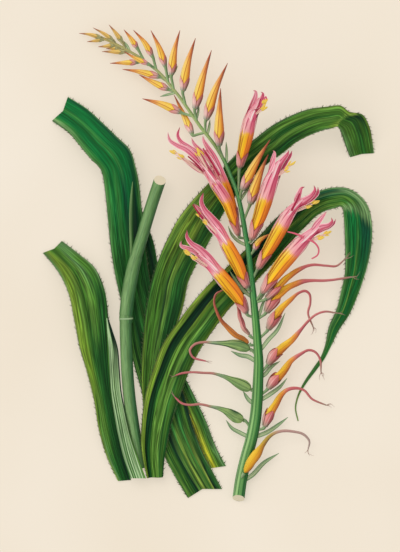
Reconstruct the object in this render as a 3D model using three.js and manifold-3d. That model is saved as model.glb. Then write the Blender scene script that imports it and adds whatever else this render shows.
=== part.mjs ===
// A pitcairnia plant, cut in two and laid down: the leafy shoot with the stump of its flower
// stalk, and the upper flowering stem laid over the leaves with its buds, blooms, withered
// blooms and seed capsules. Everything lies on the plane z = 0 and is seen from above.
// Millimetres; x to the right, y towards the tip of the flowering stem, z up.
import * as THREE from "three";
import { mergeVertices } from "three/addons/utils/BufferGeometryUtils.js";
import Module from "manifold-3d";

const wasm = await Module();
wasm.setup();

// Courses are laid out on a sketch grid: columns to the right, rows downwards, heights in mm
const GRID_STEP = 0.75;
const MIDDLE_COLUMN = 208.47;
const MIDDLE_ROW = 261.89;

// Driving sizes
const LEAF_THICKNESS = 0.9;
const SHEATH_THICKNESS = 0.8;
const BRACT_THICKNESS = 0.7;
const PETAL_THICKNESS = 0.8;
const SPINE_LENGTH = 2.0;
const SPINE_ROOT = 1.1;
const SPINE_DEPTH = 0.3;
const SPINE_SUNK = 0.45;
const SPINE_SPACING = 38;
const SCAPE_RADIUS = 4.5;
const SCAPE_SHEATH_RADIUS = 5.2;
const PEDICEL_RADIUS = 1.1;
const PEDICEL_NECK = 1.6;
const TIP_STALK_RADIUS = 0.9;
const STEM_POINTS = 240;
const SEAT_GAP = 0.35;
const CALYX_GAP = 0.35;
const CALYX_WALL = 0.95;
const CALYX_SHARE = 0.2;
const CALYX_FLOOR_SHARE = 0.045;
const CALYX_LOBE = 3.0;
const ANTHER_RADII = [0.5, 0.5, 1.2, 0.4];
const PETAL_WIDTHS = [4.4, 5.0, 4.8, 4.4, 4.0, 1.4];
const THROAT_SHARE = 0.75;
const PETAL_ROOT_SHARE = 0.7;
const PETAL_ROOT_LIFT = 0.4;
const PETAL_TILT = 0.6;
const PETAL_STATIONS = 6;
const BRACT_TAPER = [0.9, 1, 0.7, 0.25];

// Plain heights across a blade from its left edge to its right one, in mm for a dish of 1
const GUTTER = [0, -0.6, -1, -0.6, 0];
const FOLDED_GUTTER = [0, -0.62, -1, -0.55, 0.12, 0.2, 0];
const CREASE = [0, -0.7, -1, -0.4, 0];

function place([column, row, height]) {
  return new THREE.Vector3(
    (column - MIDDLE_COLUMN) * GRID_STEP,
    (MIDDLE_ROW - row) * GRID_STEP,
    height,
  );
}

function smooth(points) {
  return new THREE.CatmullRomCurve3(points, false, "centripetal");
}

// Value at share t of a list that is spread evenly from 0 to 1
function spread(list, t) {
  const at = THREE.MathUtils.clamp(t, 0, 1) * (list.length - 1);
  const low = Math.min(Math.floor(at), list.length - 2);
  return THREE.MathUtils.lerp(list[low], list[low + 1], at - low);
}

function solid(points, triangles) {
  const vertProperties = new Float32Array(points.flatMap((p) => [p.x, p.y, p.z]));
  return new wasm.Manifold(
    new wasm.Mesh({ numProp: 3, vertProperties, triVerts: new Uint32Array(triangles) }),
  );
}

function solidOfGeometry(geometry) {
  geometry.deleteAttribute("normal");
  geometry.deleteAttribute("uv");
  const merged = mergeVertices(geometry, 1e-4);
  const position = merged.getAttribute("position");
  const points = [];
  for (let i = 0; i < position.count; i += 1) {
    points.push(new THREE.Vector3().fromBufferAttribute(position, i));
  }
  return solid(points, Array.from(merged.index.array));
}

// What lies under the plane is cut away, which leaves a small flat spot to rest on
const underfoot = solidOfGeometry(new THREE.BoxGeometry(600, 600, 20).translate(0, 0, -10));

function join(solids) {
  return solids.reduce((whole, next) => whole.add(next));
}

// A stem, bud or thread along a curve, with radii spread along it. A last radius of 0 makes
// a point. A crown pushes every second corner of the far end forward into lobes.
function rod(points, radii, { sides = 6, rings = radii.length, crown = 0 } = {}) {
  const curve = smooth(points);
  const steps = rings - 1;
  const frames = curve.computeFrenetFrames(steps, false);
  const pointed = radii[radii.length - 1] === 0;
  const lastRing = pointed ? steps - 1 : steps;
  const corners = [];
  for (let i = 0; i <= lastRing; i += 1) {
    const centre = curve.getPointAt(i / steps);
    const radius = spread(radii, i / steps);
    for (let j = 0; j < sides; j += 1) {
      const angle = (j / sides) * Math.PI * 2;
      const lobe = i === lastRing ? crown * (j % 2 === 0 ? 1 : -0.6) : 0;
      corners.push(
        centre.clone()
          .addScaledVector(frames.normals[i], radius * Math.cos(angle))
          .addScaledVector(frames.binormals[i], radius * Math.sin(angle))
          .addScaledVector(frames.tangents[i], lobe),
      );
    }
  }
  const triangles = [];
  for (let i = 0; i < lastRing; i += 1) {
    for (let j = 0; j < sides; j += 1) {
      const next = (j + 1) % sides;
      const [a, b] = [i * sides + j, i * sides + next];
      triangles.push(a, b, b + sides, a, b + sides, a + sides);
    }
  }
  const start = corners.push(curve.getPointAt(0)) - 1;
  const end = corners.push(curve.getPointAt(1)) - 1;
  for (let j = 0; j < sides; j += 1) {
    const next = (j + 1) % sides;
    triangles.push(start, next, j, end, lastRing * sides + j, lastRing * sides + next);
  }
  return solid(corners, triangles);
}

// The middle surface of a blade between two edge curves, with the way up at each station
function bladeStation(edges, t, dishes) {
  const left = edges.left.getPoint(t);
  const right = edges.right.getPoint(t);
  const along = edges.left.getTangent(t).add(edges.right.getTangent(t)).normalize();
  const across = right.clone().sub(left).normalize();
  const up = across.clone().cross(along).normalize();
  return { left, right, along, across, up, dish: spread(dishes, t) };
}

// A leaf or petal: rows run from base to tip, each a left point, a right point and a dish
function blade(rows, options) {
  const { stations, profile, thickness, notches = [0, 0], spines = 0 } = options;
  const edges = { left: smooth(rows.map((row) => row[0])), right: smooth(rows.map((row) => row[1])) };
  const dishes = rows.map((row) => row[2]);
  const columns = profile.length;
  const faces = [[], []];
  for (let i = 0; i < stations; i += 1) {
    const at = bladeStation(edges, i / (stations - 1), dishes);
    let notch = 0;
    if (i === 0) notch = notches[0];
    if (i === stations - 1) notch = -notches[1];
    for (let j = 0; j < columns; j += 1) {
      const share = j / (columns - 1);
      const middle = at.left.clone().lerp(at.right, share)
        .addScaledVector(at.up, profile[j] * at.dish)
        .addScaledVector(at.along, notch * (1 - Math.abs(2 * share - 1)));
      faces[0].push(middle.clone().addScaledVector(at.up, thickness / 2));
      faces[1].push(middle.clone().addScaledVector(at.up, -thickness / 2));
    }
  }
  const under = stations * columns;
  const triangles = [];
  for (let i = 0; i < stations - 1; i += 1) {
    for (let j = 0; j < columns - 1; j += 1) {
      const a = i * columns + j;
      const [b, c, d] = [a + 1, a + columns + 1, a + columns];
      triangles.push(a, b, c, a, c, d);
      triangles.push(under + a, under + c, under + b, under + a, under + d, under + c);
    }
  }
  const rim = [];
  for (let j = 0; j < columns - 1; j += 1) rim.push(j);
  for (let i = 0; i < stations - 1; i += 1) rim.push(i * columns + columns - 1);
  for (let j = columns - 1; j > 0; j -= 1) rim.push((stations - 1) * columns + j);
  for (let i = stations - 1; i > 0; i -= 1) rim.push(i * columns);
  rim.forEach((p, k) => {
    const q = rim[(k + 1) % rim.length];
    triangles.push(under + p, under + q, q, under + p, q, p);
  });
  const body = solid([...faces[0], ...faces[1]], triangles);
  return spines ? join([body, ...marginSpines(edges, dishes, spines)]) : body;
}

// Small hooked spines that lean towards the tip, along both margins of a leaf
function marginSpines(edges, dishes, count) {
  const spines = [];
  for (let k = 0; k < count; k += 1) {
    const at = bladeStation(edges, (k + 0.7) / (count + 0.2), dishes);
    for (const [edge, outward] of [[at.left, -1], [at.right, 1]]) {
      const root = edge.clone().addScaledVector(at.across, -outward * SPINE_SUNK);
      const apex = edge.clone()
        .addScaledVector(at.across, outward * SPINE_LENGTH * 0.8)
        .addScaledVector(at.along, SPINE_LENGTH * 0.6);
      const top = root.clone().addScaledVector(at.up, SPINE_DEPTH);
      const front = top.clone().addScaledVector(at.along, SPINE_ROOT / 2);
      const back = top.clone().addScaledVector(at.along, -SPINE_ROOT / 2);
      const low = root.clone().addScaledVector(at.up, -SPINE_DEPTH);
      const corners = outward > 0 ? [front, back, low] : [front, low, back];
      spines.push(solid([...corners, apex], [0, 2, 1, 0, 1, 3, 1, 2, 3, 2, 0, 3]));
    }
  }
  return spines;
}

function rowsOf(table) {
  return table.map(([lx, ly, lz, rx, ry, rz, dish]) => [place([lx, ly, lz]), place([rx, ry, rz]), dish]);
}

function leafLength(table) {
  const rows = rowsOf(table);
  return smooth(rows.map((row) => row[0].clone().lerp(row[1], 0.5))).getLength();
}

function leaf(table, { stations, profile, notches }) {
  const spines = Math.round(leafLength(table) / SPINE_SPACING);
  const shape = { stations, profile, notches, thickness: LEAF_THICKNESS, spines };
  return blade(rowsOf(table), shape).subtract(underfoot);
}

// A lanceolate bract or petal along a course, its face turned towards a given side
function strap(points, widths, facing, { stations, profile, dish, thickness }) {
  const curve = smooth(points);
  const count = points.length;
  const rows = [];
  for (let i = 0; i < count; i += 1) {
    const t = i / (count - 1);
    const centre = curve.getPointAt(t);
    const along = curve.getTangentAt(t);
    const aside = along.clone().cross(facing).normalize();
    const half = spread(widths, t) / 2;
    rows.push([
      centre.clone().addScaledVector(aside, -half),
      centre.clone().addScaledVector(aside, half),
      dish * (1 - t),
    ]);
  }
  return blade(rows, { stations, profile, thickness });
}

// Leaves of the shoot. Rows are left column, row, height, right column, row, height, dish.
const farLeaf = [
  [188, 498, 0.5, 222, 489, 0.9, 0.2],
  [176, 478, 2.9, 213, 472, 2.7, 0.5],
  [164, 455, 3.6, 203, 453, 3.6, 0.8],
  [153, 426, 4.0, 193, 427, 4.1, 1.0],
  [145, 402, 4.0, 186, 401, 4.1, 1.0],
  [139, 382, 4.0, 177, 376, 4.1, 1.0],
  [133, 360, 4.0, 168, 352, 4.1, 1.0],
  [127, 330, 4.0, 160, 324, 4.2, 1.0],
  [121, 301, 4.2, 153, 296, 4.3, 1.1],
  [115, 274, 5.0, 148, 268, 5.0, 1.2],
  [110.5, 245, 5.6, 145, 241, 5.2, 1.3],
  [107.5, 214, 6.8, 142, 211, 6.4, 1.4],
  [105, 190, 9.0, 139.5, 186, 8.6, 1.5],
  [101, 170, 13.0, 136, 168, 13.0, 1.8],
  [90, 158, 16.5, 130, 150, 17.0, 2.0],
  [80, 146, 15.5, 117, 137, 16.0, 2.0],
  [70, 134, 11.0, 103, 123.5, 11.5, 1.6],
  [61, 127, 5.0, 87, 109, 5.5, 1.0],
  [52, 121, 0.4, 68, 97, 0.4, 0.2],
];
const underLeaf = [
  [190, 474, 0.55, 226, 466, 0.55, 0.2],
  [180, 446, 1.2, 216, 447, 1.2, 0.8],
  [168, 416, 1.5, 206, 421, 1.5, 1.0],
  [157, 388, 1.5, 195, 397, 1.5, 1.0],
  [148, 358, 1.6, 180, 366, 1.6, 1.0],
  [139, 326, 1.6, 171, 332, 1.6, 1.0],
  [131, 297, 1.6, 164, 298, 1.6, 1.0],
  [125, 269, 1.6, 158.5, 269, 1.6, 1.0],
  [121, 246, 1.8, 154, 244, 1.8, 1.0],
  [118, 226, 2.2, 148, 226, 2.2, 0.9],
  [119, 209, 2.6, 141, 208, 2.6, 0.7],
  [123, 196, 3.0, 135, 195, 3.0, 0.4],
];
const frontLeaf = [
  [118, 481, 0.7, 131, 480, 0.7, 0.3],
  [107, 457, 2.4, 125, 457, 2.0, 0.8],
  [99, 430, 4.2, 119, 430, 3.2, 1.2],
  [94.5, 402, 6.0, 113.5, 402, 4.6, 1.5],
  [88, 375, 7.8, 111, 374, 5.8, 1.7],
  [80, 348, 9.2, 110, 345, 7.8, 1.8],
  [74.5, 320, 10.2, 108.5, 317, 8.6, 1.9],
  [69, 294, 10.4, 104.5, 289, 8.8, 1.9],
  [61, 276, 8.8, 95, 268, 7.4, 1.8],
  [51, 262, 4.8, 79, 254, 4.6, 1.2],
  [43, 253, 0.4, 62, 241, 0.4, 0.2],
];
const archingLeaf = [
  [150, 474, 0.9, 160, 474, 0.9, 0.3],
  [147.5, 446, 5.4, 157.5, 446, 5.2, 0.8],
  [144, 414, 7.2, 159, 414, 6.4, 1.0],
  [142, 386, 7.4, 162, 385, 6.4, 1.2],
  [142, 360, 7.6, 169, 356, 6.3, 1.3],
  [144, 331, 7.8, 177, 327, 6.3, 1.4],
  [147, 305, 8.2, 184, 303, 6.8, 1.6],
  [152, 280, 8.8, 188, 283, 8.0, 1.8],
  [160, 256, 9.4, 195, 267, 8.6, 1.8],
  [168, 238, 10.2, 203, 253, 9.4, 1.8],
  [179, 218, 11.2, 213, 234, 10.2, 1.8],
  [193, 200, 12.2, 223, 214, 11.2, 1.8],
  [207, 185, 13.4, 234, 198, 12.2, 1.8],
  [224, 167, 14.6, 249, 181, 13.2, 1.8],
  [240, 151, 16.0, 266, 165, 14.6, 1.9],
  [255, 139, 18.0, 283, 153, 16.6, 2.0],
  [272, 126, 20.6, 297, 142, 19.0, 2.0],
  [290, 116.5, 23.6, 311, 135, 22.0, 2.0],
  [308, 110, 26.6, 322, 131, 25.2, 1.8],
  [326, 107.5, 29.0, 331, 129, 28.0, 1.4],
  [340, 106.5, 30.0, 336.5, 127.5, 29.4, 0.8],
  [350, 111, 29.0, 338.5, 129, 28.4, 0.8],
  [362, 116, 24.0, 340.5, 133, 23.4, 1.2],
  [369, 127, 14.5, 343.5, 141, 14.0, 1.4],
  [372, 140, 6.5, 347, 150, 6.0, 1.2],
  [374, 153, 0.4, 350, 157, 0.4, 0.3],
];
const channelLeaf = [
  [147, 478, 10.4, 163, 477, 7.4, 4.6],
  [141.5, 448, 11.9, 165, 455, 8.7, 4.6],
  [142, 420, 12.7, 171, 424, 9.9, 4.2],
  [146, 393, 13.1, 179, 398, 10.5, 4.0],
  [153, 370, 13.3, 189, 372, 10.5, 4.0],
  [163, 344, 13.1, 201, 348, 10.1, 4.0],
  [178, 322, 12.5, 214, 329, 9.3, 4.0],
  [194, 301, 11.4, 229, 309, 8.4, 3.6],
  [211, 282, 10.8, 245, 293, 8.2, 3.2],
  [228, 266, 10.6, 261, 276, 8.4, 2.8],
  [245, 250, 11.0, 275, 261, 9.0, 2.6],
  [260, 235, 12.0, 287, 247, 10.2, 2.6],
  [274, 220, 13.6, 297, 235, 12.0, 2.4],
  [288, 208, 16.0, 306, 226, 14.4, 2.2],
  [303, 198, 19.4, 315, 217, 18.0, 2.0],
  [318, 191.5, 23.4, 325, 211, 22.0, 1.8],
  [332, 188, 27.0, 334, 208.5, 25.6, 1.4],
  [346, 188.5, 29.0, 340, 207, 27.6, 1.0],
  [358, 195, 28.6, 341.5, 208, 27.4, 1.0],
  [367, 206, 26.0, 342.5, 211, 25.0, 1.2],
  [371, 221, 21.0, 343.5, 220, 20.4, 1.4],
  [371.5, 240, 15.0, 344.5, 239, 14.6, 1.5],
  [369, 258, 10.0, 345, 257, 9.8, 1.5],
  [364, 277, 6.2, 344.5, 274, 6.2, 1.3],
  [357, 297, 3.6, 341, 291, 3.6, 1.1],
  [349.5, 314, 2.0, 336.5, 309, 2.0, 0.8],
  [338.5, 331, 1.2, 328.8, 327, 1.2, 0.5],
  [330.5, 347.5, 0.8, 325, 345, 0.8, 0.3],
  [324.5, 359, 0.6, 320.5, 357, 0.6, 0.2],
  [316.5, 370.5, 0.5, 312.8, 368, 0.5, 0.1],
  [307, 384, 0.5, 303.5, 381.5, 0.5, 0.1],
  [300.5, 396, 0.5, 297.5, 394.5, 0.5, 0.1],
  [297.2, 408, 0.5, 294.6, 408, 0.5, 0.1],
  [299.2, 420.6, 0.5, 297.2, 421.4, 0.5, 0.1],
];
const sheathLeaf = [
  [131, 478, 10.0, 146, 478, 11.2, 1.2],
  [124, 458, 8.4, 138.5, 458, 11.4, 1.8],
  [118, 434, 6.8, 131.5, 437, 11.2, 2.4],
  [114, 412, 7.0, 126.5, 415, 10.6, 2.6],
  [111, 390, 8.2, 121.8, 392, 10.0, 2.6],
  [109.5, 368, 8.7, 119.8, 368, 10.2, 2.6],
  [108.5, 348, 9.5, 118, 348, 11.0, 2.0],
  [107.3, 332, 10.1, 113.5, 333, 11.4, 1.0],
  [106.5, 318, 10.4, 108.5, 318, 10.8, 0.3],
];

// The stump of the flower stalk, and the sheathing bract that clasps it above its node
const scapeCourse = [
  [141.5, 468, 4.4], [139, 455, 5.0], [135, 435, 6.2], [130.5, 405, 8.0], [128, 380, 9.2],
  [126.5, 350, 10.4], [126, 318, 11.4], [128.5, 294, 12.0], [134, 265, 12.4], [142.5, 236, 12.8],
  [151.5, 206, 13.6], [160, 180.5, 14.6],
];
const scapeNode = [[126.3, 322, 11.2], [126, 315, 11.5]];
const scapeSheath = [[126, 318, 11.4], [128.5, 294, 12.0], [134, 265, 12.4], [136.5, 257, 12.5]];
const scapeBract = [
  [130, 266, 13.6, 139.5, 262, 12.4, 1.0],
  [130, 248, 13.6, 139, 246, 10.8, 1.7],
  [129.5, 230, 13.4, 137.5, 229, 10.6, 1.8],
  [129.5, 212, 12.8, 136, 212, 11.0, 1.5],
  [130.5, 196, 12.6, 134.8, 196, 11.9, 0.9],
  [132.5, 182, 13.4, 133.5, 182, 13.4, 0.1],
];

function scapeStump() {
  const stalk = rod(scapeCourse.map(place), [SCAPE_RADIUS, SCAPE_RADIUS], { sides: 8, rings: 11 });
  const node = rod(scapeNode.map(place), [SCAPE_RADIUS + 0.5, SCAPE_RADIUS + 0.5], { sides: 8 });
  const sheath = rod(scapeSheath.map(place), [SCAPE_SHEATH_RADIUS, SCAPE_SHEATH_RADIUS],
    { sides: 8, rings: 5 });
  const bract = blade(rowsOf(scapeBract), { stations: 8, profile: GUTTER, thickness: SHEATH_THICKNESS });
  return join([stalk, node, sheath, bract]).subtract(underfoot);
}

// The flowering stem from its cut end to its tip
const stemCourse = [
  [238.5, 498, 4.3], [241, 480, 4.9], [246, 458, 6.0], [251, 440, 7.0], [255, 420, 8.0],
  [257, 400, 9.0], [258, 380, 10.2], [258.5, 360, 11.4], [257.5, 345, 12.2], [256, 325, 13.2],
  [254, 305, 14.0], [252, 285, 14.6], [250, 265, 15.0], [248, 248, 15.6], [245.5, 235, 16.0],
  [243, 220, 16.6], [240, 205, 17.2], [236, 190, 17.8], [230, 175, 18.4], [224, 161, 18.8],
  [217, 149, 19.0], [209, 138, 18.8], [201, 128, 18.2], [194, 118, 17.4], [187, 108, 16.4],
  [180, 98, 15.2], [172, 88, 13.8], [164, 78, 12.4], [156, 70, 11.2], [148, 64, 10.2],
  [140, 58, 9.2], [131, 52.5, 8.2], [121, 47, 7.2], [110, 41.5, 6.2], [100, 37.5, 5.4],
  [91, 35, 4.8],
];
const stemRadii = [4.5, 4.5, 4.4, 3.9, 3.1, 2.6, 2.1, 1.8, 1.5, 1.3, 1.2, 1.1, 1.0, 0.8];
const stemCurve = smooth(stemCourse.map(place));
const stemSamples = stemCurve.getSpacedPoints(STEM_POINTS);

// The point inside the stem that is nearest, in plan, to a place on the sketch grid
function stemPoint([column, row]) {
  const wanted = place([column, row, 0]);
  const offset = (p) => Math.hypot(p.x - wanted.x, p.y - wanted.y);
  return stemSamples.reduce((best, p) => (offset(p) < offset(best) ? p : best));
}

// The tiny buds of the tip: root on the stem, then a course from base to point, and a width
const tipBuds = [
  { root: [95, 36], course: [[91, 35.3, 4.8], [85, 34, 4.6], [79, 33.5, 4.4]], width: 2.6 },
  { root: [116, 44.5], course: [[113, 41, 7.0], [104, 34, 7.2], [93, 28, 7.0]], width: 3.0 },
  { root: [107, 40.5], course: [[103, 39.5, 5.2], [95, 41, 4.4], [87, 42, 3.8]], width: 2.8 },
  { root: [118, 45.5], course: [[114, 45, 6.0], [106, 46.4, 4.8], [98, 47, 4.0]], width: 3.0 },
  { root: [125, 49], course: [[122, 42, 8.2], [115.5, 33, 8.6], [109, 25, 8.6]], width: 3.4 },
  { root: [122, 48], course: [[118, 48, 6.0], [112, 48.6, 4.6], [106, 48.9, 4.2]], width: 2.8 },
  { root: [131, 53], course: [[125, 52, 7.0], [113.5, 52, 5.4], [102, 51.7, 4.4]], width: 3.6 },
];

// Buds in their own nodes, named from the tip down
const buds = [
  { root: [144, 61], course: [[137, 48, 9.8], [131, 39, 10.0], [124, 30, 9.8]], width: 3.9 },
  { root: [157, 71], course: [[152, 56, 12.4], [144.5, 43, 13.0], [133.5, 30.5, 13.0]], width: 4.4 },
  { root: [143, 60], course: [[137, 62.5, 7.6], [124, 63, 6.2], [110, 63.5, 5.2]], width: 4.0 },
  { root: [154, 68.5], course: [[148, 64.5, 13.6], [136, 59, 13.4], [124, 52, 12.4]], width: 3.4 },
  { root: [167, 81], course: [[159, 77, 10.2], [142, 72.5, 8.8], [122.5, 69.5, 7.2]], width: 4.8 },
  { root: [168, 83], course: [[165, 66, 15.6], [159, 48, 17.2], [151, 31, 17.6]], width: 5.0 },
  { root: [176, 92], course: [[168, 89.5, 11.6], [154, 83, 10.4], [139, 75, 9.0]], width: 5.0 },
  { root: [174, 90], course: [[171.5, 75, 16.8], [174, 53, 18.8], [180, 31, 19.4]], width: 6.0 },
  { root: [186, 106], course: [[183, 91, 19.0], [187, 66, 21.0], [195.5, 39, 21.6]], width: 6.8 },
  { root: [193, 116], course: [[180, 112.5, 14.6], [163, 105, 13.2], [142.5, 99, 11.4]], width: 6.0 },
  { root: [197, 122], course: [[195, 109, 20.4], [202, 80, 22.6], [211.5, 51, 23.2]], width: 7.0 },
  { root: [206, 133], course: [[206, 120, 21.6], [214.5, 92, 24.0], [227.5, 64, 24.8]], width: 7.0 },
  { root: [224, 160], course: [[219, 146, 23.0], [219, 118, 26.0], [220.5, 89, 27.0]], width: 7.4 },
  { root: [205, 133], course: [[192, 134, 16.4], [184, 116, 10.2], [174, 95, 8.6]], width: 5.0 },
  { root: [239, 203], course: [[242, 190, 20.4], [255, 164, 22.4], [270, 140, 23.4]], width: 7.2 },
  { root: [244, 222], course: [[250, 204, 19.0], [258, 178, 20.4], [268, 155, 21.0]], width: 7.8 },
  { root: [249, 257], course: [[254, 250, 17.6], [259, 241, 18.2], [272, 233, 18.8]], width: 3.4 },
];
const BUD_RADII = [0.5, 0.98, 0.96, 0.76, 0.5, 0.27, 0];

// Open blooms: root on the stem, axis from the calyx base to the mouth, the free part of each
// of the three petals, and the anthers; girth is the widest radius of the corolla
const blooms = [
  {
    root: [238, 197],
    course: [[239.5, 168, 21], [241.5, 157, 24], [244, 146, 27], [247, 133, 31], [251, 117, 36]],
    petals: [
      [[252.5, 104, 39], [255, 97, 41], [255, 92.5, 42], [252.8, 91.8, 42]],
      [[258.5, 106, 38], [262, 99, 40], [262.5, 94.5, 41], [260.3, 93.2, 41]],
      [[258.5, 108, 35], [261, 102, 36], [261.5, 99, 36.5]],
    ],
    anthers: [[263, 109, 42], [264, 104, 41]],
    girth: 4.9,
  },
  {
    root: [247, 243],
    course: [[251, 240, 19], [254.5, 229, 22], [259.5, 216, 25], [264, 202, 28], [272, 178, 32]],
    petals: [
      [[270, 166, 35], [273.3, 157, 36.5], [274, 152.5, 37], [272.5, 151.5, 36.5]],
      [[277, 167.5, 36.5], [283, 159.5, 38], [287, 154.5, 38.5], [288.3, 151, 38]],
      [[281, 171, 33], [285.5, 163, 34.5], [290, 156, 35.5], [291.5, 151.5, 35.5]],
    ],
    anthers: [[286, 170, 37], [290, 164, 36.5]],
    girth: 5.6,
  },
  {
    root: [251.5, 281],
    course: [[257.5, 269, 17], [263, 258, 20], [269, 248, 23], [277, 234, 26], [289, 213, 30]],
    petals: [
      [[294.5, 203, 33], [298, 195, 35], [301, 188.5, 36], [304, 187.5, 35.5]],
      [[297, 205, 33.5], [305, 200.5, 35], [311, 196, 36], [314.3, 190.5, 36], [313.2, 186, 35.5]],
      [[298, 207, 31], [306, 202.5, 32], [313, 198, 33], [317.3, 193, 33], [317.3, 187.5, 33]],
    ],
    anthers: [[308, 207, 34.5], [314, 202, 34]],
    girth: 5.0,
  },
  {
    root: [253.5, 302],
    course: [[261.5, 293, 17], [268, 283, 20], [275, 273, 23], [286, 259, 26], [303, 240.5, 29.5]],
    petals: [
      [[309.5, 231, 32], [316.5, 223, 33.5], [322.5, 216, 34], [326, 212, 34]],
      [[313, 231.5, 32.5], [321, 227.5, 34], [328, 225.5, 34.5], [331.5, 221.5, 34.5],
        [330.5, 218, 34]],
      [[313, 235, 30], [321, 230, 31], [328.5, 227, 31], [333.5, 223, 31], [335, 219.5, 30.5]],
    ],
    anthers: [[320, 238, 33.5], [326, 234, 33]],
    girth: 5.6,
  },
  {
    root: [246, 240],
    course: [[238.5, 235.5, 20], [235.3, 226, 23], [231.5, 215, 26.5], [226.5, 202, 30],
      [213, 181, 35]],
    petals: [
      [[202, 173, 35], [193, 166.5, 36], [186, 161.5, 36.5], [181.5, 158.5, 36.5]],
      [[203.5, 168.5, 37.5], [195, 158.5, 39], [186, 150.5, 40], [176.5, 146, 40.5],
        [169.8, 141, 41], [168, 133, 41]],
      [[207, 165, 37.5], [199.5, 154.5, 39], [189, 147.5, 40], [181, 142, 40.5], [178, 136, 41],
        [180, 128, 41]],
    ],
    anthers: [[174, 153, 42], [181, 157.5, 41]],
    girth: 4.0,
  },
  {
    root: [243.5, 227],
    course: [[236.5, 224.5, 13.6], [234.2, 214.5, 14], [231, 204, 16.4], [227, 193, 19.8],
      [219.5, 173, 24]],
    petals: [
      [[208.5, 160, 26.5], [199.5, 151, 28], [194, 144.5, 29], [191.5, 138.5, 29.5]],
      [[213, 158, 27.5], [207.5, 148.5, 29], [203.8, 141.5, 29.5], [202.8, 136.5, 29.5]],
      [[214.5, 161, 24.5], [210, 153, 25.5], [207, 148, 26]],
    ],
    anthers: [[197, 158, 30.5], [200, 153, 31]],
    girth: 3.9,
  },
  {
    root: [252, 291],
    course: [[247.5, 288, 19.5], [243, 278, 21], [237, 264, 24], [225, 242, 28]],
    petals: [
      [[217.5, 236, 28.5], [211, 229, 29.5], [206.5, 224, 30], [203.5, 220.5, 30]],
      [[219.5, 229, 31], [211.5, 218.5, 32.5], [204.5, 210, 33.5], [201.3, 202, 34],
        [203.3, 193, 34.5]],
      [[217.5, 231, 28], [209, 220.5, 30], [202, 212.5, 31], [194, 204, 32]],
    ],
    anthers: [[199, 215, 34], [205, 222, 33.5]],
    girth: 4.9,
  },
  {
    root: [255, 318],
    course: [[246.5, 313, 17], [241.5, 303, 19.5], [233, 291, 22.5], [216.5, 271, 26.5]],
    petals: [
      [[207, 266.5, 27], [200, 262, 28], [195.5, 259, 28.5], [191.5, 256.5, 28.5]],
      [[208, 257.5, 29.5], [199.5, 249, 30.5], [191.5, 243.5, 31.5], [187, 237, 32],
        [187, 230.5, 32.5]],
      [[206, 259, 26.5], [196, 251.5, 28], [187.5, 248.5, 29], [181, 245.5, 30], [181.5, 241, 30.5]],
    ],
    anthers: [[187, 253, 31.5], [194, 258.5, 31.5]],
    girth: 5.1,
  },
];
const COROLLA_RADII = [0.36, 0.62, 0.8, 0.92, 1.0, 1.0, 0.92];

// Withered blooms: a calyx, a shrunken yellow tube and a long curling thread
const withered = [
  {
    root: [254, 303],
    course: [[266.5, 298, 16], [276, 289, 17], [288, 276.5, 17.6], [300, 269, 18], [312, 265, 17.5],
      [325, 265.5, 17], [336, 266, 16], [345, 259, 16]],
    radii: [1.5, 2.3, 2.6, 2.4, 1.9, 1.3, 1.0, 0.9, 0.8, 0.5],
  },
  {
    root: [256, 320],
    course: [[266, 312, 12.5], [272, 302, 12.6], [279, 294, 12.6], [290, 286, 13], [302, 281.5, 13],
      [325, 280.5, 12], [338, 279, 11.6], [352, 277, 11]],
    radii: [1.7, 3.9, 3.8, 2.5, 2.3, 1.4, 1.1, 1.0, 0.9, 0.5],
  },
  {
    root: [257.5, 340],
    course: [[268, 329, 12.5], [273, 320, 13.2], [281, 309, 13.6], [290, 300, 13.8], [298, 293, 13.6],
      [305, 291, 13], [309, 294, 12.2], [310, 303, 10.4], [308, 313, 8.4], [313, 327, 6.8]],
    radii: [1.6, 3.6, 3.2, 2.4, 1.7, 1.1, 1.0, 0.9, 0.9, 0.8, 0.5],
  },
  {
    root: [258.5, 376],
    course: [[268, 364, 11.2], [274, 355, 12], [283, 347, 12.6], [291, 341, 13], [300, 330, 13.4],
      [308, 321, 13.2], [316, 314.5, 12.4], [325, 311.5, 11.4], [337, 313, 9.6]],
    radii: [1.6, 3.6, 3.3, 2.7, 1.9, 1.2, 1.0, 0.9, 0.8, 0.5],
  },
  {
    root: [257.5, 398],
    course: [[268, 388, 10.4], [274, 380, 11], [283, 371, 11.4], [292, 360, 11.8], [300, 354, 11.8],
      [308, 350, 11.4], [315, 352, 10.4], [320, 360, 8.4], [321, 372, 6.6]],
    radii: [1.6, 3.6, 3.2, 2.7, 1.9, 1.3, 1.0, 0.9, 0.8, 0.5],
  },
  {
    root: [254, 432],
    course: [[264.5, 426, 9.2], [268.5, 416, 9.8], [275, 404, 10], [282, 394, 10], [289, 389, 9.8],
      [297, 388, 9.2], [304, 390, 8.4], [312, 399, 7], [326, 405, 5.6]],
    radii: [1.5, 3.4, 3.1, 2.6, 1.8, 1.3, 1.0, 0.9, 0.8, 0.5],
  },
  {
    root: [243, 480],
    course: [[244, 473, 12.4], [250, 464, 13.4], [257, 453, 13], [263, 443.5, 12], [271, 435, 11.2],
      [281, 431, 10.2], [292, 431, 9.2], [303, 434, 8], [309, 441, 7], [308, 449, 6]],
    radii: [1.6, 3.6, 3.7, 2.2, 1.5, 1.2, 1.1, 1.0, 0.9, 0.5],
  },
  {
    root: [257.5, 346],
    course: [[249, 343.5, 14], [243, 338.5, 14.4], [237, 335.5, 14.6], [230, 330, 14.8], [222, 321.5, 14.8],
      [217, 312, 14.6], [214, 302, 14.6], [216, 294, 14.6], [223, 290, 14.8]],
    radii: [1.2, 1.9, 2.2, 1.9, 1.4, 1.1, 0.9, 0.8, 0.5],
  },
  {
    root: [257, 340],
    course: [[249.5, 335, 12], [244, 328, 11.4], [240.5, 318, 11], [237.5, 306, 11]],
    radii: [1.2, 1.9, 2.0, 1.6, 0.7],
  },
];

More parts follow.
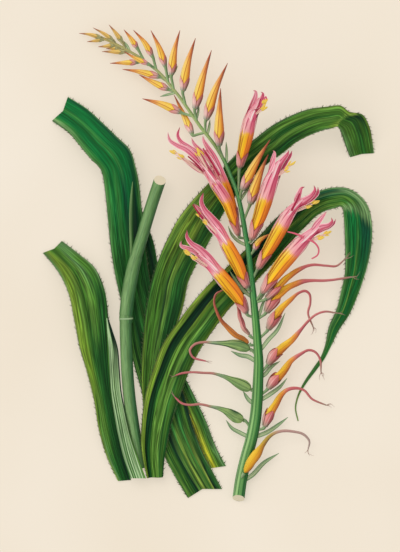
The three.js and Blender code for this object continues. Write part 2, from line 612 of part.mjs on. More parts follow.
// Seed capsules: a ribbed green pod, its beak, and the withered style that hangs on it
const capsules = [
  {
    root: [258, 358],
    course: [[250, 349.5, 12.4], [241, 346, 12.8], [231, 344, 13.4], [222, 343.2, 13.8], [213, 342.6, 14.2],
      [204, 342, 14.4], [195, 344, 14.6], [190, 350, 14.4], [193, 357, 14], [206, 361, 13.6]],
  },
  {
    root: [257.5, 399],
    course: [[251, 389.5, 10.6], [242, 385, 11.4], [232, 380, 12.2], [223, 376, 12.8], [213, 373.2, 13.4],
      [203, 372.6, 13.8], [192, 372, 14], [182, 373, 14], [176, 375, 13.8]],
  },
  {
    root: [254, 430],
    course: [[243.5, 420, 8.8], [236, 417, 9.8], [227, 411.5, 10.8], [219, 408.2, 11.6], [210, 406, 12.2],
      [200, 404, 12.8], [190, 404.6, 13.2], [182, 403, 13.4], [175, 397, 13.4]],
  },
];
const CAPSULE_RADII = [1.5, 3.7, 3.8, 2.4, 1.4, 1.1, 0.9, 0.9, 0.8, 0.8, 0.5];

// Floral bracts: slender green blades whose roots are sunk in the stem
const bracts = [
  { course: [[257, 362, 12], [248, 356.5, 11], [240, 355, 10.4], [231, 351, 10.4]], width: 3.4 },
  { course: [[256, 405, 9], [249, 400, 9], [243, 391, 9]], width: 3.0 },
  { course: [[251, 438, 7], [240, 432.5, 6], [232, 428, 5.6], [226, 420, 5.6]], width: 3.0 },
  { course: [[259, 352, 12], [268, 340, 10.4], [277, 330, 10], [285, 313, 10]], width: 3.0 },
  { course: [[257, 402, 9], [270, 394, 7.6], [280, 386.5, 7], [287, 378, 7]], width: 3.2 },
  { course: [[252, 438, 7], [268, 431.5, 6], [279, 424, 5.6], [288, 417, 5.6]], width: 3.2 },
  { course: [[259, 378, 10.2], [265, 374, 8.4], [271, 367, 8], [280, 361, 7.6]], width: 3.0 },
  { course: [[247.5, 246, 15.6], [238, 241, 14.4], [232, 235, 14], [228, 226, 14]], width: 2.4 },
  { course: [[253, 298, 14], [243, 290, 13], [236, 281, 12.6], [229, 270, 12.6]], width: 2.8 },
  { course: [[241, 482, 5], [252, 475, 5.4], [264, 462.5, 5.2], [279, 453, 5]], width: 3.4 },
  { course: [[254, 305, 14], [260, 298, 12.6], [266, 290, 12], [271, 283, 12]], width: 2.6 },
  { course: [[256, 322, 13.2], [260, 312, 11.4], [263, 303, 10.8], [268, 296, 10.4]], width: 2.4 },
  { course: [[239, 203, 17.2], [243, 196, 16.2], [248, 189, 15.8], [256, 181, 15.8]], width: 2.2 },
  { course: [[226, 165, 18.6], [226.5, 158, 17.4], [226.5, 150, 17], [226, 142, 17]], width: 2.0 },
  { course: [[207, 136, 18.6], [209, 128, 17.4], [210, 120, 17]], width: 2.0 },
  { course: [[196, 121, 17.8], [198, 113, 16.8], [199, 105, 16.4]], width: 1.9 },
  { course: [[176, 93, 14.4], [168, 95, 14.2], [160, 97, 14]], width: 1.9 },
  { course: [[165, 79, 12.6], [173, 74, 12], [178, 66, 12]], width: 1.9 },
  { course: [[130, 52, 8.2], [127, 46, 7.6], [121.5, 40, 7.4]], width: 1.9 },
];

function pedicel(root, base, next) {
  const from = stemPoint(root);
  const inward = base.clone().sub(next).normalize();
  const end = base.clone().addScaledVector(inward, SEAT_GAP);
  const neck = end.clone().addScaledVector(inward, Math.min(PEDICEL_NECK, from.distanceTo(end) / 3));
  return rod([from, neck, end], [PEDICEL_RADIUS, PEDICEL_RADIUS], { sides: 4, rings: 2 });
}

// A bud's base radius is its pedicel's, and it swells to the given width before its point
function bud({ course, width }, sides) {
  return rod(course.map(place), BUD_RADII.map((share) => (share * width) / 2), { sides });
}

function floweringStem() {
  const pieces = [rod(stemCourse.map(place), stemRadii, { sides: 7, rings: 34 })];
  for (const part of [...buds, ...blooms, ...withered, ...capsules]) {
    const [base, next] = part.course.slice(0, 2).map(place);
    pieces.push(pedicel(part.root, base, next));
  }
  for (const small of tipBuds) {
    pieces.push(rod([stemPoint(small.root), place(small.course[0])],
      [TIP_STALK_RADIUS, TIP_STALK_RADIUS], { sides: 5 }));
    pieces.push(bud(small, 5));
  }
  const upwards = new THREE.Vector3(0, 0, 1);
  for (const { course, width } of bracts) {
    const shape = { stations: 4, profile: [0, 0], dish: 0, thickness: BRACT_THICKNESS };
    pieces.push(strap(course.map(place), BRACT_TAPER.map((share) => share * width), upwards, shape));
  }
  return join(pieces).subtract(underfoot);
}

function corollaRadii(girth, extra = 0) {
  return COROLLA_RADII.map((share) => share * girth + extra);
}

function coursePart(course, from, to, count) {
  const curve = smooth(course.map(place));
  return Array.from({ length: count }, (_, k) => curve.getPointAt(from + ((to - from) * k) / (count - 1)));
}

// A petal leaves the tube beside its axis and bends out along its own free part, with its back
// turned outwards, and upwards or downwards
function petal({ course, girth }, free) {
  const curve = smooth(course.map(place));
  const along = curve.getTangentAt(1);
  const outward = place(free[0]).sub(curve.getPointAt(1));
  outward.addScaledVector(along, -outward.dot(along)).normalize();
  const root = curve.getPointAt(PETAL_ROOT_SHARE).addScaledVector(outward, PETAL_ROOT_LIFT * girth);
  const facing = outward.clone().multiplyScalar(PETAL_TILT);
  facing.z += outward.z < 0 ? -1 : 1;
  const shape = { stations: PETAL_STATIONS, profile: [0, -1, 0], dish: -1.0, thickness: PETAL_THICKNESS };
  return strap([root, ...free.map(place)], PETAL_WIDTHS, facing, shape);
}

function corolla(bloom) {
  const axis = coursePart(bloom.course, CALYX_FLOOR_SHARE, 1, 9);
  const tube = rod(axis, corollaRadii(bloom.girth), { sides: 8 });
  const petals = bloom.petals.map((free) => petal(bloom, free));
  const throat = coursePart(bloom.course, THROAT_SHARE, 1, 2);
  const anthers = bloom.anthers.map((at) => rod([...throat, place(at)], ANTHER_RADII, { sides: 4 }));
  return join([tube, ...petals, ...anthers]);
}

// A cup of sepals with pointed lobes, hollowed for the foot of the corolla
function calyx({ course, girth }) {
  const margin = CALYX_GAP + CALYX_WALL;
  const outer = [1.7, spread(corollaRadii(girth), 0.1) + margin, spread(corollaRadii(girth), 0.2) + margin];
  const cup = rod(coursePart(course, 0, CALYX_SHARE, 4), outer, { sides: 8, crown: CALYX_LOBE });
  const hollow = rod(coursePart(course, CALYX_FLOOR_SHARE - 0.008, 1, 9),
    corollaRadii(girth, CALYX_GAP), { sides: 8 });
  return cup.subtract(hollow);
}

const COLOURS = {
  deep_green: { color: 0x1f6a35, roughness: 0.6 },
  leaf_green: { color: 0x4f8a2c, roughness: 0.6 },
  teal_green: { color: 0x14573c, roughness: 0.6 },
  sage_green: { color: 0x8fb381, roughness: 0.65 },
  stem_green: { color: 0x4f9a55, roughness: 0.6 },
  bud_orange: { color: 0xe0a02c, roughness: 0.55 },
  calyx_salmon: { color: 0xd98479, roughness: 0.6 },
  petal_pink: { color: 0xdb7080, roughness: 0.55 },
  withered_rust: { color: 0xcf7a4a, roughness: 0.7 },
  capsule_green: { color: 0x7aa565, roughness: 0.6 },
};
const materials = Object.fromEntries(Object.entries(COLOURS).map(([name, look]) => [
  name, new THREE.MeshStandardMaterial({ name, metalness: 0, ...look }),
]));

const group = new THREE.Group();

function add(name, body, colour) {
  const mesh = body.getMesh();
  const geometry = new THREE.BufferGeometry();
  geometry.setAttribute("position", new THREE.BufferAttribute(new Float32Array(mesh.vertProperties), 3));
  geometry.setIndex(new THREE.BufferAttribute(new Uint32Array(mesh.triVerts), 1));
  geometry.computeVertexNormals();
  const part = new THREE.Mesh(geometry, materials[colour]);
  part.name = name;
  group.add(part);
}

add("leaf_far", leaf(farLeaf, { stations: 30, profile: GUTTER, notches: [4, 3] }), "deep_green");
add("leaf_under", leaf(underLeaf, { stations: 20, profile: GUTTER, notches: [1, 0] }), "teal_green");
add("leaf_front", leaf(frontLeaf, { stations: 22, profile: GUTTER, notches: [0, 2] }), "leaf_green");
add("leaf_arching", leaf(archingLeaf, { stations: 36, profile: GUTTER, notches: [0, 1] }), "leaf_green");
add("leaf_channelled",
  leaf(channelLeaf, { stations: 36, profile: FOLDED_GUTTER, notches: [0, 0] }), "teal_green");
add("leaf_sheathing", blade(rowsOf(sheathLeaf),
  { stations: 18, profile: CREASE, thickness: SHEATH_THICKNESS }), "sage_green");
add("scape_stump", scapeStump(), "sage_green");
add("flowering_stem", floweringStem(), "stem_green");
buds.forEach((one, k) => {
  add(`bud_${String(k + 1).padStart(2, "0")}`, bud(one, 6), "bud_orange");
});
blooms.forEach((bloom, k) => {
  add(`bloom_${k + 1}_calyx`, calyx(bloom), "calyx_salmon");
  add(`bloom_${k + 1}_corolla`, corolla(bloom), "petal_pink");
});
withered.forEach(({ course, radii }, k) => {
  add(`withered_${k + 1}`, rod(course.map(place), radii, { sides: 6, rings: 11 }), "withered_rust");
});
capsules.forEach(({ course }, k) => {
  add(`capsule_${k + 1}`, rod(course.map(place), CAPSULE_RADII, { sides: 6, rings: 12 }), "capsule_green");
});

export default group;
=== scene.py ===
# A cut pitcairnia plant laid down: the leafy shoot with the stump of its flower stalk, and the
# upper flowering stem laid over the leaves. Metres; the plant lies on z = 0, seen from above.
import itertools
import math

import bpy
import numpy as np
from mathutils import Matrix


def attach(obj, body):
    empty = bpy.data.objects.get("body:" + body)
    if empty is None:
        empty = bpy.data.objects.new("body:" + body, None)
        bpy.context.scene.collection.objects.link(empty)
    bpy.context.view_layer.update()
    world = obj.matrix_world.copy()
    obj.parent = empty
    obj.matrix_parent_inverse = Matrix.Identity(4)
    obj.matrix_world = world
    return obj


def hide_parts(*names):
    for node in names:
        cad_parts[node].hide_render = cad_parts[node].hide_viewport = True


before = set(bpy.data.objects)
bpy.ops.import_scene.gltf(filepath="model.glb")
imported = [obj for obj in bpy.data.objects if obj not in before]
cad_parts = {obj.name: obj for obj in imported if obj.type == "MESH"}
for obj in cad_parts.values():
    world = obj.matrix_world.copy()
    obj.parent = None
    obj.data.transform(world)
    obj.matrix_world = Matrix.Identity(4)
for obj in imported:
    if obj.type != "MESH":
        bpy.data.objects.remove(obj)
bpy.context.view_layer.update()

# The surface under the plant is a plain cream board that also glows a little, so the shadows round
# the plant come out lighter. The camera looks straight down on it from far off, under an even sky and a
# soft sun from the upper left.
MM = 0.001
GRID_STEP = 0.75 * MM
MIDDLE_COLUMN = 208.47
MIDDLE_ROW = 261.89
VIEW_COLUMN = 200
VIEW_ROW = 276
VIEW_HEIGHT = 414 * MM
CAMERA_HEIGHT = 6.0
SENSOR = 36.0
BOARD_SIDE = 4.0
BOARD_DEPTH = 0.4 * MM
BOARD_GLOW = 0.6
BOARD_TINTS = ((238, 225, 205), (243, 232, 215))
BOARD_GRAIN_SCALE = 900.0
BOARD_WASH_SCALE = 5.0
BOARD_GRAIN_DEPTH = 0.05 * MM
SUN_STRENGTH = 0.95
SUN_ANGLE = 45
SUN_TURN = (-24, -18, 0)
SKY_STRENGTH = 0.77


def place(points):
    """Column, row and height in mm on the sketch grid, as metres."""
    grid = np.array(points, float)
    return np.stack([
        (grid[..., 0] - MIDDLE_COLUMN) * GRID_STEP,
        (MIDDLE_ROW - grid[..., 1]) * GRID_STEP,
        grid[..., 2] * MM,
    ], axis=-1)


def paint(red, green, blue):
    """A display colour, each part 0 to 255, as linear RGBA."""
    share = np.array([red, green, blue]) / 255
    linear = np.where(share <= 0.04045, share / 12.92, ((share + 0.055) / 1.055) ** 2.4)
    return (*(float(part) for part in linear), 1.0)


def wire(tree, kind, inputs=(), **settings):
    """Adds a node. Inputs are by name or number, each a value or another node's socket."""
    made = tree.nodes.new(kind)
    for name, value in settings.items():
        setattr(made, name, value)
    for key, value in dict(inputs).items():
        if isinstance(value, bpy.types.NodeSocket):
            tree.links.new(value, made.inputs[key])
        else:
            made.inputs[key].default_value = value
    return made


def keep(thing):
    bpy.context.scene.collection.objects.link(thing)
    return thing


def board_material():
    material = bpy.data.materials.new("cream board")
    material.use_nodes = True
    tree = material.node_tree
    coordinates = wire(tree, "ShaderNodeTexCoord")
    grain = wire(tree, "ShaderNodeTexNoise", {
        "Vector": coordinates.outputs["Object"], "Scale": BOARD_GRAIN_SCALE})
    wash = wire(tree, "ShaderNodeTexNoise", {
        "Vector": coordinates.outputs["Object"], "Scale": BOARD_WASH_SCALE})
    tint = wire(tree, "ShaderNodeValToRGB", {"Fac": wash.outputs["Fac"]})
    for element, position, colour in zip(tint.color_ramp.elements, (0.3, 0.7), BOARD_TINTS):
        element.position = position
        element.color = paint(*colour)
    bump = wire(tree, "ShaderNodeBump", {
        "Height": grain.outputs["Fac"], "Distance": BOARD_GRAIN_DEPTH, "Strength": 0.3})
    duller = wire(tree, "ShaderNodeVectorMath", {0: tint.outputs["Color"], "Scale": 1 - BOARD_GLOW},
                  operation="SCALE")
    skin = tree.nodes["Principled BSDF"]
    tree.links.new(duller.outputs[0], skin.inputs["Base Color"])
    tree.links.new(tint.outputs["Color"], skin.inputs["Emission Color"])
    tree.links.new(bump.outputs["Normal"], skin.inputs["Normal"])
    skin.inputs["Emission Strength"].default_value = BOARD_GLOW
    skin.inputs["Roughness"].default_value = 0.95
    skin.inputs["Specular IOR Level"].default_value = 0.05
    return material


half_board = BOARD_SIDE / 2
board_mesh = bpy.data.meshes.new("board")
board_mesh.from_pydata(
    [(x, y, -BOARD_DEPTH) for x, y in ((-half_board, -half_board), (half_board, -half_board),
                                       (half_board, half_board), (-half_board, half_board))],
    [], [(0, 1, 2, 3)])
board = keep(bpy.data.objects.new("board", board_mesh))
board.data.materials.append(board_material())

sun = keep(bpy.data.objects.new("soft sun", bpy.data.lights.new("soft sun", "SUN")))
sun.data.energy = SUN_STRENGTH
sun.data.angle = math.radians(SUN_ANGLE)
sun.rotation_euler = [math.radians(turn) for turn in SUN_TURN]
sky = bpy.data.worlds.new("even sky")
sky.use_nodes = True
sky.node_tree.nodes["Background"].inputs["Color"].default_value = (1, 1, 1, 1)
sky.node_tree.nodes["Background"].inputs["Strength"].default_value = SKY_STRENGTH
bpy.context.scene.world = sky
bpy.context.scene.view_settings.view_transform = "Standard"

camera = keep(bpy.data.objects.new("camera", bpy.data.cameras.new("camera")))
camera.location = (*place([VIEW_COLUMN, VIEW_ROW, 0])[:2], CAMERA_HEIGHT)
camera.data.lens = SENSOR * CAMERA_HEIGHT / VIEW_HEIGHT
camera.data.sensor_width = SENSOR
camera.data.clip_start = 0.1
camera.data.clip_end = 100
bpy.context.scene.camera = camera

# The six leaves are long straps, cut off at their ends, with a channel along them, raised veins
# and small hooked spines on both margins. Each bends as it grew and lies on the one below it.
LEAF_THICKNESS = 0.9 * MM
SHEATH_THICKNESS = 0.8 * MM
VEIN_HEIGHT = 0.11 * MM
VEIN_DRIFT = 0.11
FULL_VEIN_WIDTH = 12 * MM
EDGE_THINNING = 0.6
STATIONS_A_ROW = 12
COLUMNS_A_VEIN = 5
SHARP_ANGLE = 55
GUTTER = [0, -0.6, -1, -0.6, 0]
FOLDED_GUTTER = [0, -0.62, -1, -0.55, 0.12, 0.2, 0]
CREASE = [0, -0.7, -1, -0.4, 0]

NIGHT = (8, 38, 24)
TEAL = (12, 70, 46)
DEEP = (20, 68, 24)
EMERALD = (14, 100, 46)
FOREST = (38, 92, 34)
JADE = (56, 126, 56)
MID = (66, 110, 36)
LIGHT = (94, 136, 54)
LIME = (110, 142, 42)
OLIVE = (108, 134, 46)
STRAW = (130, 154, 62)
DUSTY = (86, 126, 72)
SAGE = (122, 156, 100)
PALE = (164, 190, 142)
FLAME = (176, 170, 42)
MOSS = (52, 92, 28)

# Rows are left column, row, height, right column, row, height, dish, from base to tip
far_leaf = [
    [188, 498, 0.5, 222, 489, 0.9, 0.2],
    [176, 478, 2.9, 213, 472, 2.7, 0.5],
    [164, 455, 3.6, 203, 453, 3.6, 0.8],
    [153, 426, 4.0, 193, 427, 4.1, 1.0],
    [145, 402, 4.0, 186, 401, 4.1, 1.0],
    [139, 382, 4.0, 177, 376, 4.1, 1.0],
    [133, 360, 4.0, 168, 352, 4.1, 1.0],
    [127, 330, 4.0, 160, 324, 4.2, 1.0],
    [121, 301, 4.2, 153, 296, 4.3, 1.1],
    [115, 274, 5.0, 148, 268, 5.0, 1.2],
    [110.5, 245, 5.6, 145, 241, 5.2, 1.3],
    [107.5, 214, 6.8, 142, 211, 6.4, 1.4],
    [105, 190, 9.0, 139.5, 186, 8.6, 1.5],
    [101, 170, 13.0, 136, 168, 13.0, 1.8],
    [90, 158, 16.5, 130, 150, 17.0, 2.0],
    [80, 146, 15.5, 117, 137, 16.0, 2.0],
    [70, 134, 11.0, 103, 123.5, 11.5, 1.6],
    [61, 127, 5.0, 87, 109, 5.5, 1.0],
    [52, 121, 0.4, 68, 97, 0.4, 0.2],
]
under_leaf = [
    [190, 474, 0.55, 226, 466, 0.55, 0.2],
    [180, 446, 1.2, 216, 447, 1.2, 0.8],
    [168, 416, 1.5, 206, 421, 1.5, 1.0],
    [157, 388, 1.5, 195, 397, 1.5, 1.0],
    [148, 358, 1.6, 180, 366, 1.6, 1.0],
    [139, 326, 1.6, 171, 332, 1.6, 1.0],
    [131, 297, 1.6, 164, 298, 1.6, 1.0],
    [125, 269, 1.6, 158.5, 269, 1.6, 1.0],
    [121, 246, 1.8, 154, 244, 1.8, 1.0],
    [118, 226, 2.2, 148, 226, 2.2, 0.9],
    [119, 209, 2.6, 141, 208, 2.6, 0.7],
    [123, 196, 3.0, 135, 195, 3.0, 0.4],
]
front_leaf = [
    [118, 481, 0.7, 131, 480, 0.7, 0.3],
    [107, 457, 2.4, 125, 457, 2.0, 0.8],
    [99, 430, 4.2, 119, 430, 3.2, 1.2],
    [94.5, 402, 6.0, 113.5, 402, 4.6, 1.5],
    [88, 375, 7.8, 111, 374, 5.8, 1.7],
    [80, 348, 9.2, 110, 345, 7.8, 1.8],
    [74.5, 320, 10.2, 108.5, 317, 8.6, 1.9],
    [69, 294, 10.4, 104.5, 289, 8.8, 1.9],
    [61, 276, 8.8, 95, 268, 7.4, 1.8],
    [51, 262, 4.8, 79, 254, 4.6, 1.2],
    [43, 253, 0.4, 62, 241, 0.4, 0.2],
]
arching_leaf = [
    [150, 474, 0.9, 160, 474, 0.9, 0.3],
    [147.5, 446, 5.4, 157.5, 446, 5.2, 0.8],
    [144, 414, 7.2, 159, 414, 6.4, 1.0],
    [142, 386, 7.4, 162, 385, 6.4, 1.2],
    [142, 360, 7.6, 169, 356, 6.3, 1.3],
    [144, 331, 7.8, 177, 327, 6.3, 1.4],
    [147, 305, 8.2, 184, 303, 6.8, 1.6],
    [152, 280, 8.8, 188, 283, 8.0, 1.8],
    [160, 256, 9.4, 195, 267, 8.6, 1.8],
    [168, 238, 10.2, 203, 253, 9.4, 1.8],
    [179, 218, 11.2, 213, 234, 10.2, 1.8],
    [193, 200, 12.2, 223, 214, 11.2, 1.8],
    [207, 185, 13.4, 234, 198, 12.2, 1.8],
    [224, 167, 14.6, 249, 181, 13.2, 1.8],
    [240, 151, 16.0, 266, 165, 14.6, 1.9],
    [255, 139, 18.0, 283, 153, 16.6, 2.0],
    [272, 126, 20.6, 297, 142, 19.0, 2.0],
    [290, 116.5, 23.6, 311, 135, 22.0, 2.0],
    [308, 110, 26.6, 322, 131, 25.2, 1.8],
    [326, 107.5, 29.0, 331, 129, 28.0, 1.4],
    [340, 106.5, 30.0, 336.5, 127.5, 29.4, 0.8],
    [348.5, 112.4, 29.0, 338.5, 129, 28.4, 0.8],
    [361.5, 115.2, 24.0, 340.5, 133, 23.4, 1.2],
    [369, 127, 14.5, 343.5, 141, 14.0, 1.4],
    [372, 140, 6.5, 347, 150, 6.0, 1.2],
    [374, 153, 0.4, 350, 157, 0.4, 0.3],
]
channelled_leaf = [
    [147, 478, 10.4, 163, 477, 7.4, 4.6],
    [141.5, 448, 11.9, 165, 455, 8.7, 4.6],
    [142, 420, 12.7, 171, 424, 9.9, 4.2],
    [146, 393, 13.1, 179, 398, 10.5, 4.0],
    [153, 370, 13.3, 189, 372, 10.5, 4.0],
    [163, 344, 13.1, 201, 348, 10.1, 4.0],
    [178, 322, 12.5, 214, 329, 9.3, 4.0],
    [194, 301, 11.4, 229, 309, 8.4, 3.6],
    [211, 282, 10.8, 245, 293, 8.2, 3.2],
    [228, 266, 10.6, 261, 276, 8.4, 2.8],
    [245, 250, 11.0, 275, 261, 9.0, 2.6],
    [260, 235, 12.0, 287, 247, 10.2, 2.6],
    [274, 220, 13.6, 297, 235, 12.0, 2.4],
    [288, 208, 16.0, 306, 226, 14.4, 2.2],
    [303, 198, 19.4, 315, 217, 18.0, 2.0],
    [318, 191.5, 23.4, 325, 211, 22.0, 1.8],
    [332, 188, 27.0, 334, 208.5, 25.6, 1.4],
    [346, 188.5, 29.0, 340, 207, 27.6, 1.0],
    [358, 195, 28.6, 341.5, 208, 27.4, 1.0],
    [367, 206, 26.0, 342.5, 211, 25.0, 1.2],
    [371, 221, 21.0, 343.5, 220, 20.4, 1.4],
    [371.5, 240, 15.0, 344.5, 239, 14.6, 1.5],
    [369, 258, 10.0, 345, 257, 9.8, 1.5],
    [364, 277, 6.2, 344.5, 274, 6.2, 1.3],
    [357, 297, 3.6, 341, 291, 3.6, 1.1],
    [349.5, 314, 2.0, 336.5, 309, 2.0, 0.8],
    [338.5, 331, 1.2, 328.8, 327, 1.2, 0.5],
    [330.5, 347.5, 0.8, 325, 345, 0.8, 0.3],
    [324.5, 359, 0.6, 320.5, 357, 0.6, 0.2],
    [316.3, 370.3, 0.5, 313, 368.2, 0.5, 0.1],
    [306.2, 383.7, 0.5, 303.8, 382, 0.5, 0.1],
    [299.3, 395.6, 0.5, 297.6, 394.8, 0.5, 0.1],
    [296.3, 408, 0.5, 294.8, 408, 0.5, 0.1],
    [298.7, 420.8, 0.5, 297.5, 421.2, 0.5, 0.1],
]
sheathing_leaf = [
    [131, 478, 10.0, 146, 478, 11.2, 1.2],
    [124, 458, 8.4, 138.5, 458, 11.4, 1.8],
    [118, 434, 6.8, 131.5, 437, 11.2, 2.4],
    [114, 412, 7.0, 126.5, 415, 10.6, 2.6],
    [111, 390, 8.2, 121.8, 392, 10.0, 2.6],
    [109.5, 368, 8.7, 119.8, 368, 10.2, 2.6],
    [108.5, 348, 9.5, 118, 348, 11.0, 2.0],
    [107.3, 332, 10.1, 113.5, 333, 11.4, 1.0],
    [106.5, 318, 10.4, 108.5, 318, 10.8, 0.3],
]


def unit(vectors):
    return vectors / np.maximum(np.linalg.norm(vectors, axis=-1, keepdims=True), 1e-12)


class Course:
    """A smooth curve through a few points, with even steps between them."""

    def __init__(self, points):
        self.points = np.array(points, float)
        self.table = np.linspace(0, 1, 401)
        steps = np.linalg.norm(np.diff(self.at(self.table), axis=0), axis=1)
        self.lengths = np.concatenate([[0], np.cumsum(steps)])
        self.length = self.lengths[-1]

    def at(self, t):
        points = self.points
        last = len(points) - 1
        where = np.clip(np.asarray(t, float), 0, 1) * last
        low = np.minimum(np.floor(where).astype(int), last - 1)
        w = (where - low)[..., None]
        padded = np.vstack([2 * points[0] - points[1], points, 2 * points[-1] - points[-2]])
        p0, p1, p2, p3 = (padded[low + k] for k in range(4))
        g0, g1, g2 = (np.maximum(np.linalg.norm(b - a, axis=-1, keepdims=True), 1e-9) ** 0.5
                      for a, b in ((p0, p1), (p1, p2), (p2, p3)))
        m1 = g1 * ((p1 - p0) / g0 - (p2 - p0) / (g0 + g1) + (p2 - p1) / g1)
        m2 = g1 * ((p2 - p1) / g1 - (p3 - p1) / (g1 + g2) + (p3 - p2) / g2)
        square = (3 * p2 - 3 * p1 - 2 * m1 - m2) * w**2
        cube = (2 * p1 - 2 * p2 + m1 + m2) * w**3
        return p1 + m1 * w + square + cube

    def reach(self, share):
        """The points at shares of the curve's length."""
        return self.at(np.interp(np.asarray(share, float) * self.length, self.lengths, self.table))


def spread(values, t):
    """The value at t from 0 to 1 of a list that is spread evenly, smoothed."""
    return Course(np.column_stack([np.arange(len(values)), values])).at(t)[..., 1]


class Shape:
    """Lofted surfaces gathered for one mesh, with what the paint needs to know at each point:
    where across, where along, which side, and how far round and along in mm."""

    def __init__(self):
        self.count = 0
        self.points = []
        self.spots = []
        self.flows = []
        self.faces = []
        self.kinds = []

    def loft(self, sections, spots, flows, kind=0, cap_kind=None, flat=False):
        """Closed sections joined in rows. Flat sections are a face and its back, cut or pointed."""
        rows, around = sections.shape[:2]
        index = self.count + np.arange(rows * around).reshape(rows, around)
        beside = np.roll(index, -1, axis=1)
        sides = np.stack([index[:-1], beside[:-1], beside[1:], index[1:]], axis=-1).reshape(-1, 4)
        faces = sides.tolist()
        kinds = [kind] * len(faces)
        if flat:
            half = around // 2
            for row, turn in ((0, -1), (rows - 1, 1)):
                top = index[row][:half]
                low = index[row][half:][::-1]
                for j in range(half - 1):
                    faces.append([int(k) for k in (top[j], top[j + 1], low[j + 1], low[j])][::turn])
        else:
            faces.append(index[0][::-1].tolist())
            faces.append(index[-1].tolist())
        kinds += [kind if cap_kind is None else cap_kind] * (len(faces) - len(kinds))
        self.points.append(sections.reshape(-1, 3))
        self.spots.append(np.broadcast_to(spots, sections.shape).reshape(-1, 3))
        self.flows.append(np.broadcast_to(flows, sections.shape).reshape(-1, 3))
        self.faces += faces
        self.kinds += kinds
        self.count += rows * around

    def build(self, name, materials, nodes):
        points = np.concatenate(self.points)
        points[:, 2] = np.maximum(points[:, 2], 0)
        mesh = bpy.data.meshes.new(name)
        mesh.from_pydata(points.tolist(), [], self.faces)
        for label, rows in (("spot", self.spots), ("flow", self.flows)):
            attribute = mesh.attributes.new(label, "FLOAT_VECTOR", "POINT")
            attribute.data.foreach_set("vector", np.concatenate(rows).astype(np.float32).ravel())
        for material in materials:
            mesh.materials.append(material)
        mesh.polygons.foreach_set("material_index", self.kinds)
        mesh.set_sharp_from_angle(angle=math.radians(SHARP_ANGLE))
        piece = keep(bpy.data.objects.new(name, mesh))
        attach(piece, "root")
        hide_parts(*nodes)


def blade(shape, rows, profile, thickness, size, notches=(0, 0), veins=0, coarse=30, kind=0):
    """A leaf between two edge curves. Size is stations by columns; the notches, in mm, run out
    over one station of a coarse count."""
    table = np.array(rows, float)
    stations, columns = size
    t = np.linspace(0, 1, stations)
    share = np.linspace(0, 1, columns)
    left = Course(place(table[:, 0:3])).at(t)
    right = Course(place(table[:, 3:6])).at(t)
    along = unit(unit(np.gradient(left, axis=0)) + unit(np.gradient(right, axis=0)))
    across = unit(right - left)
    up = unit(np.cross(across, along))
    dish = np.interp(t, np.linspace(0, 1, len(table)), table[:, 6]) * MM
    taper = np.clip(np.linalg.norm(right - left, axis=1) / FULL_VEIN_WIDTH, 0, 1)
    edge = np.abs(2 * share - 1)
    pleats = VEIN_HEIGHT * np.cos(2 * math.pi * veins * share) * (1 - edge**6) if veins else 0 * share
    lift = spread(profile, share)[None, :] * dish[:, None] + pleats[None, :] * taper[:, None]
    push = (notches[0] * np.clip(1 - t * (coarse - 1), 0, 1)
            - notches[1] * np.clip(1 - (1 - t) * (coarse - 1), 0, 1)) * MM
    middle = (left[:, None] + (right - left)[:, None] * share[None, :, None]
              + up[:, None] * lift[..., None] + along[:, None] * (push[:, None] * (1 - edge))[..., None])
    half = up[:, None] * (thickness / 2 * (1 - EDGE_THINNING * edge**10))[None, :, None]
    sections = np.concatenate([middle + half, (middle - half)[:, ::-1]], axis=1)
    there_and_back = np.concatenate([share, share[::-1]])
    face = np.concatenate([np.ones(columns), -np.ones(columns)])
    width = np.linalg.norm(right - left, axis=1).max() / MM
    centre = (left + right) / 2
    distance = np.concatenate([[0], np.cumsum(np.linalg.norm(np.diff(centre, axis=0), axis=1))]) / MM
    grid = np.ones((stations, 2 * columns))
    spots = np.stack([grid * there_and_back, grid * t[:, None], grid * face], axis=-1)
    flows = np.stack([grid * there_and_back * width, grid * face * 3, grid * distance[:, None]], axis=-1)
    shape.loft(sections, spots, flows, kind=kind, flat=True)
    return left, right, along, across, np.linalg.norm(right - left, axis=1)


def growth_lines():
    """Shader group: fine lines that run lengthwise with the growth, as a value round 0.5."""
    group = bpy.data.node_groups.new("growth lines", "ShaderNodeTree")
    for name, value in (("Spacing", 1.0), ("Length", 30.0), ("Shift", 0.0)):
        socket = group.interface.new_socket(name=name, in_out="INPUT", socket_type="NodeSocketFloat")
        socket.default_value = value
    group.interface.new_socket(name="Lines", in_out="OUTPUT", socket_type="NodeSocketFloat")
    entry = wire(group, "NodeGroupInput")
    flow = wire(group, "ShaderNodeAttribute", attribute_name="flow")
    grid = wire(group, "ShaderNodeCombineXYZ", {
        "X": entry.outputs["Spacing"], "Y": entry.outputs["Spacing"], "Z": entry.outputs["Length"]})
    scaled = wire(group, "ShaderNodeVectorMath", {0: flow.outputs["Vector"], 1: grid.outputs[0]},
                  operation="DIVIDE")
    shift = wire(group, "ShaderNodeVectorMath", {0: scaled.outputs[0], 1: entry.outputs["Shift"]},
                 operation="ADD")
    noise = wire(group, "ShaderNodeTexNoise", {"Vector": shift.outputs[0], "Scale": 1.0, "Detail": 2.0})
    wide = wire(group, "ShaderNodeMapRange", {
        "Value": noise.outputs["Fac"], "From Min": 0.3, "From Max": 0.7})
    leave = wire(group, "NodeGroupOutput")
    group.links.new(wide.outputs[0], leave.inputs["Lines"])
    return group


GROWTH_LINES = growth_lines()
COLOUR_WANDER = 0.04
SKIN_RELIEF = 0.5
SKIN_RELIEF_DEPTH = 0.12 * MM
SKIN_ROUGHNESS = 0.53
ROUGHNESS_SPREAD = 0.15
LINE_FADE = 0.05
VEIN_FADE = 0.1


def lines_of(tree, spacing, length, shift=0.0):
    made = wire(tree, "ShaderNodeGroup")
    made.node_tree = GROWTH_LINES
    for name, value in (("Spacing", spacing), ("Length", length), ("Shift", shift)):
        made.inputs[name].default_value = value
    return made.outputs["Lines"]


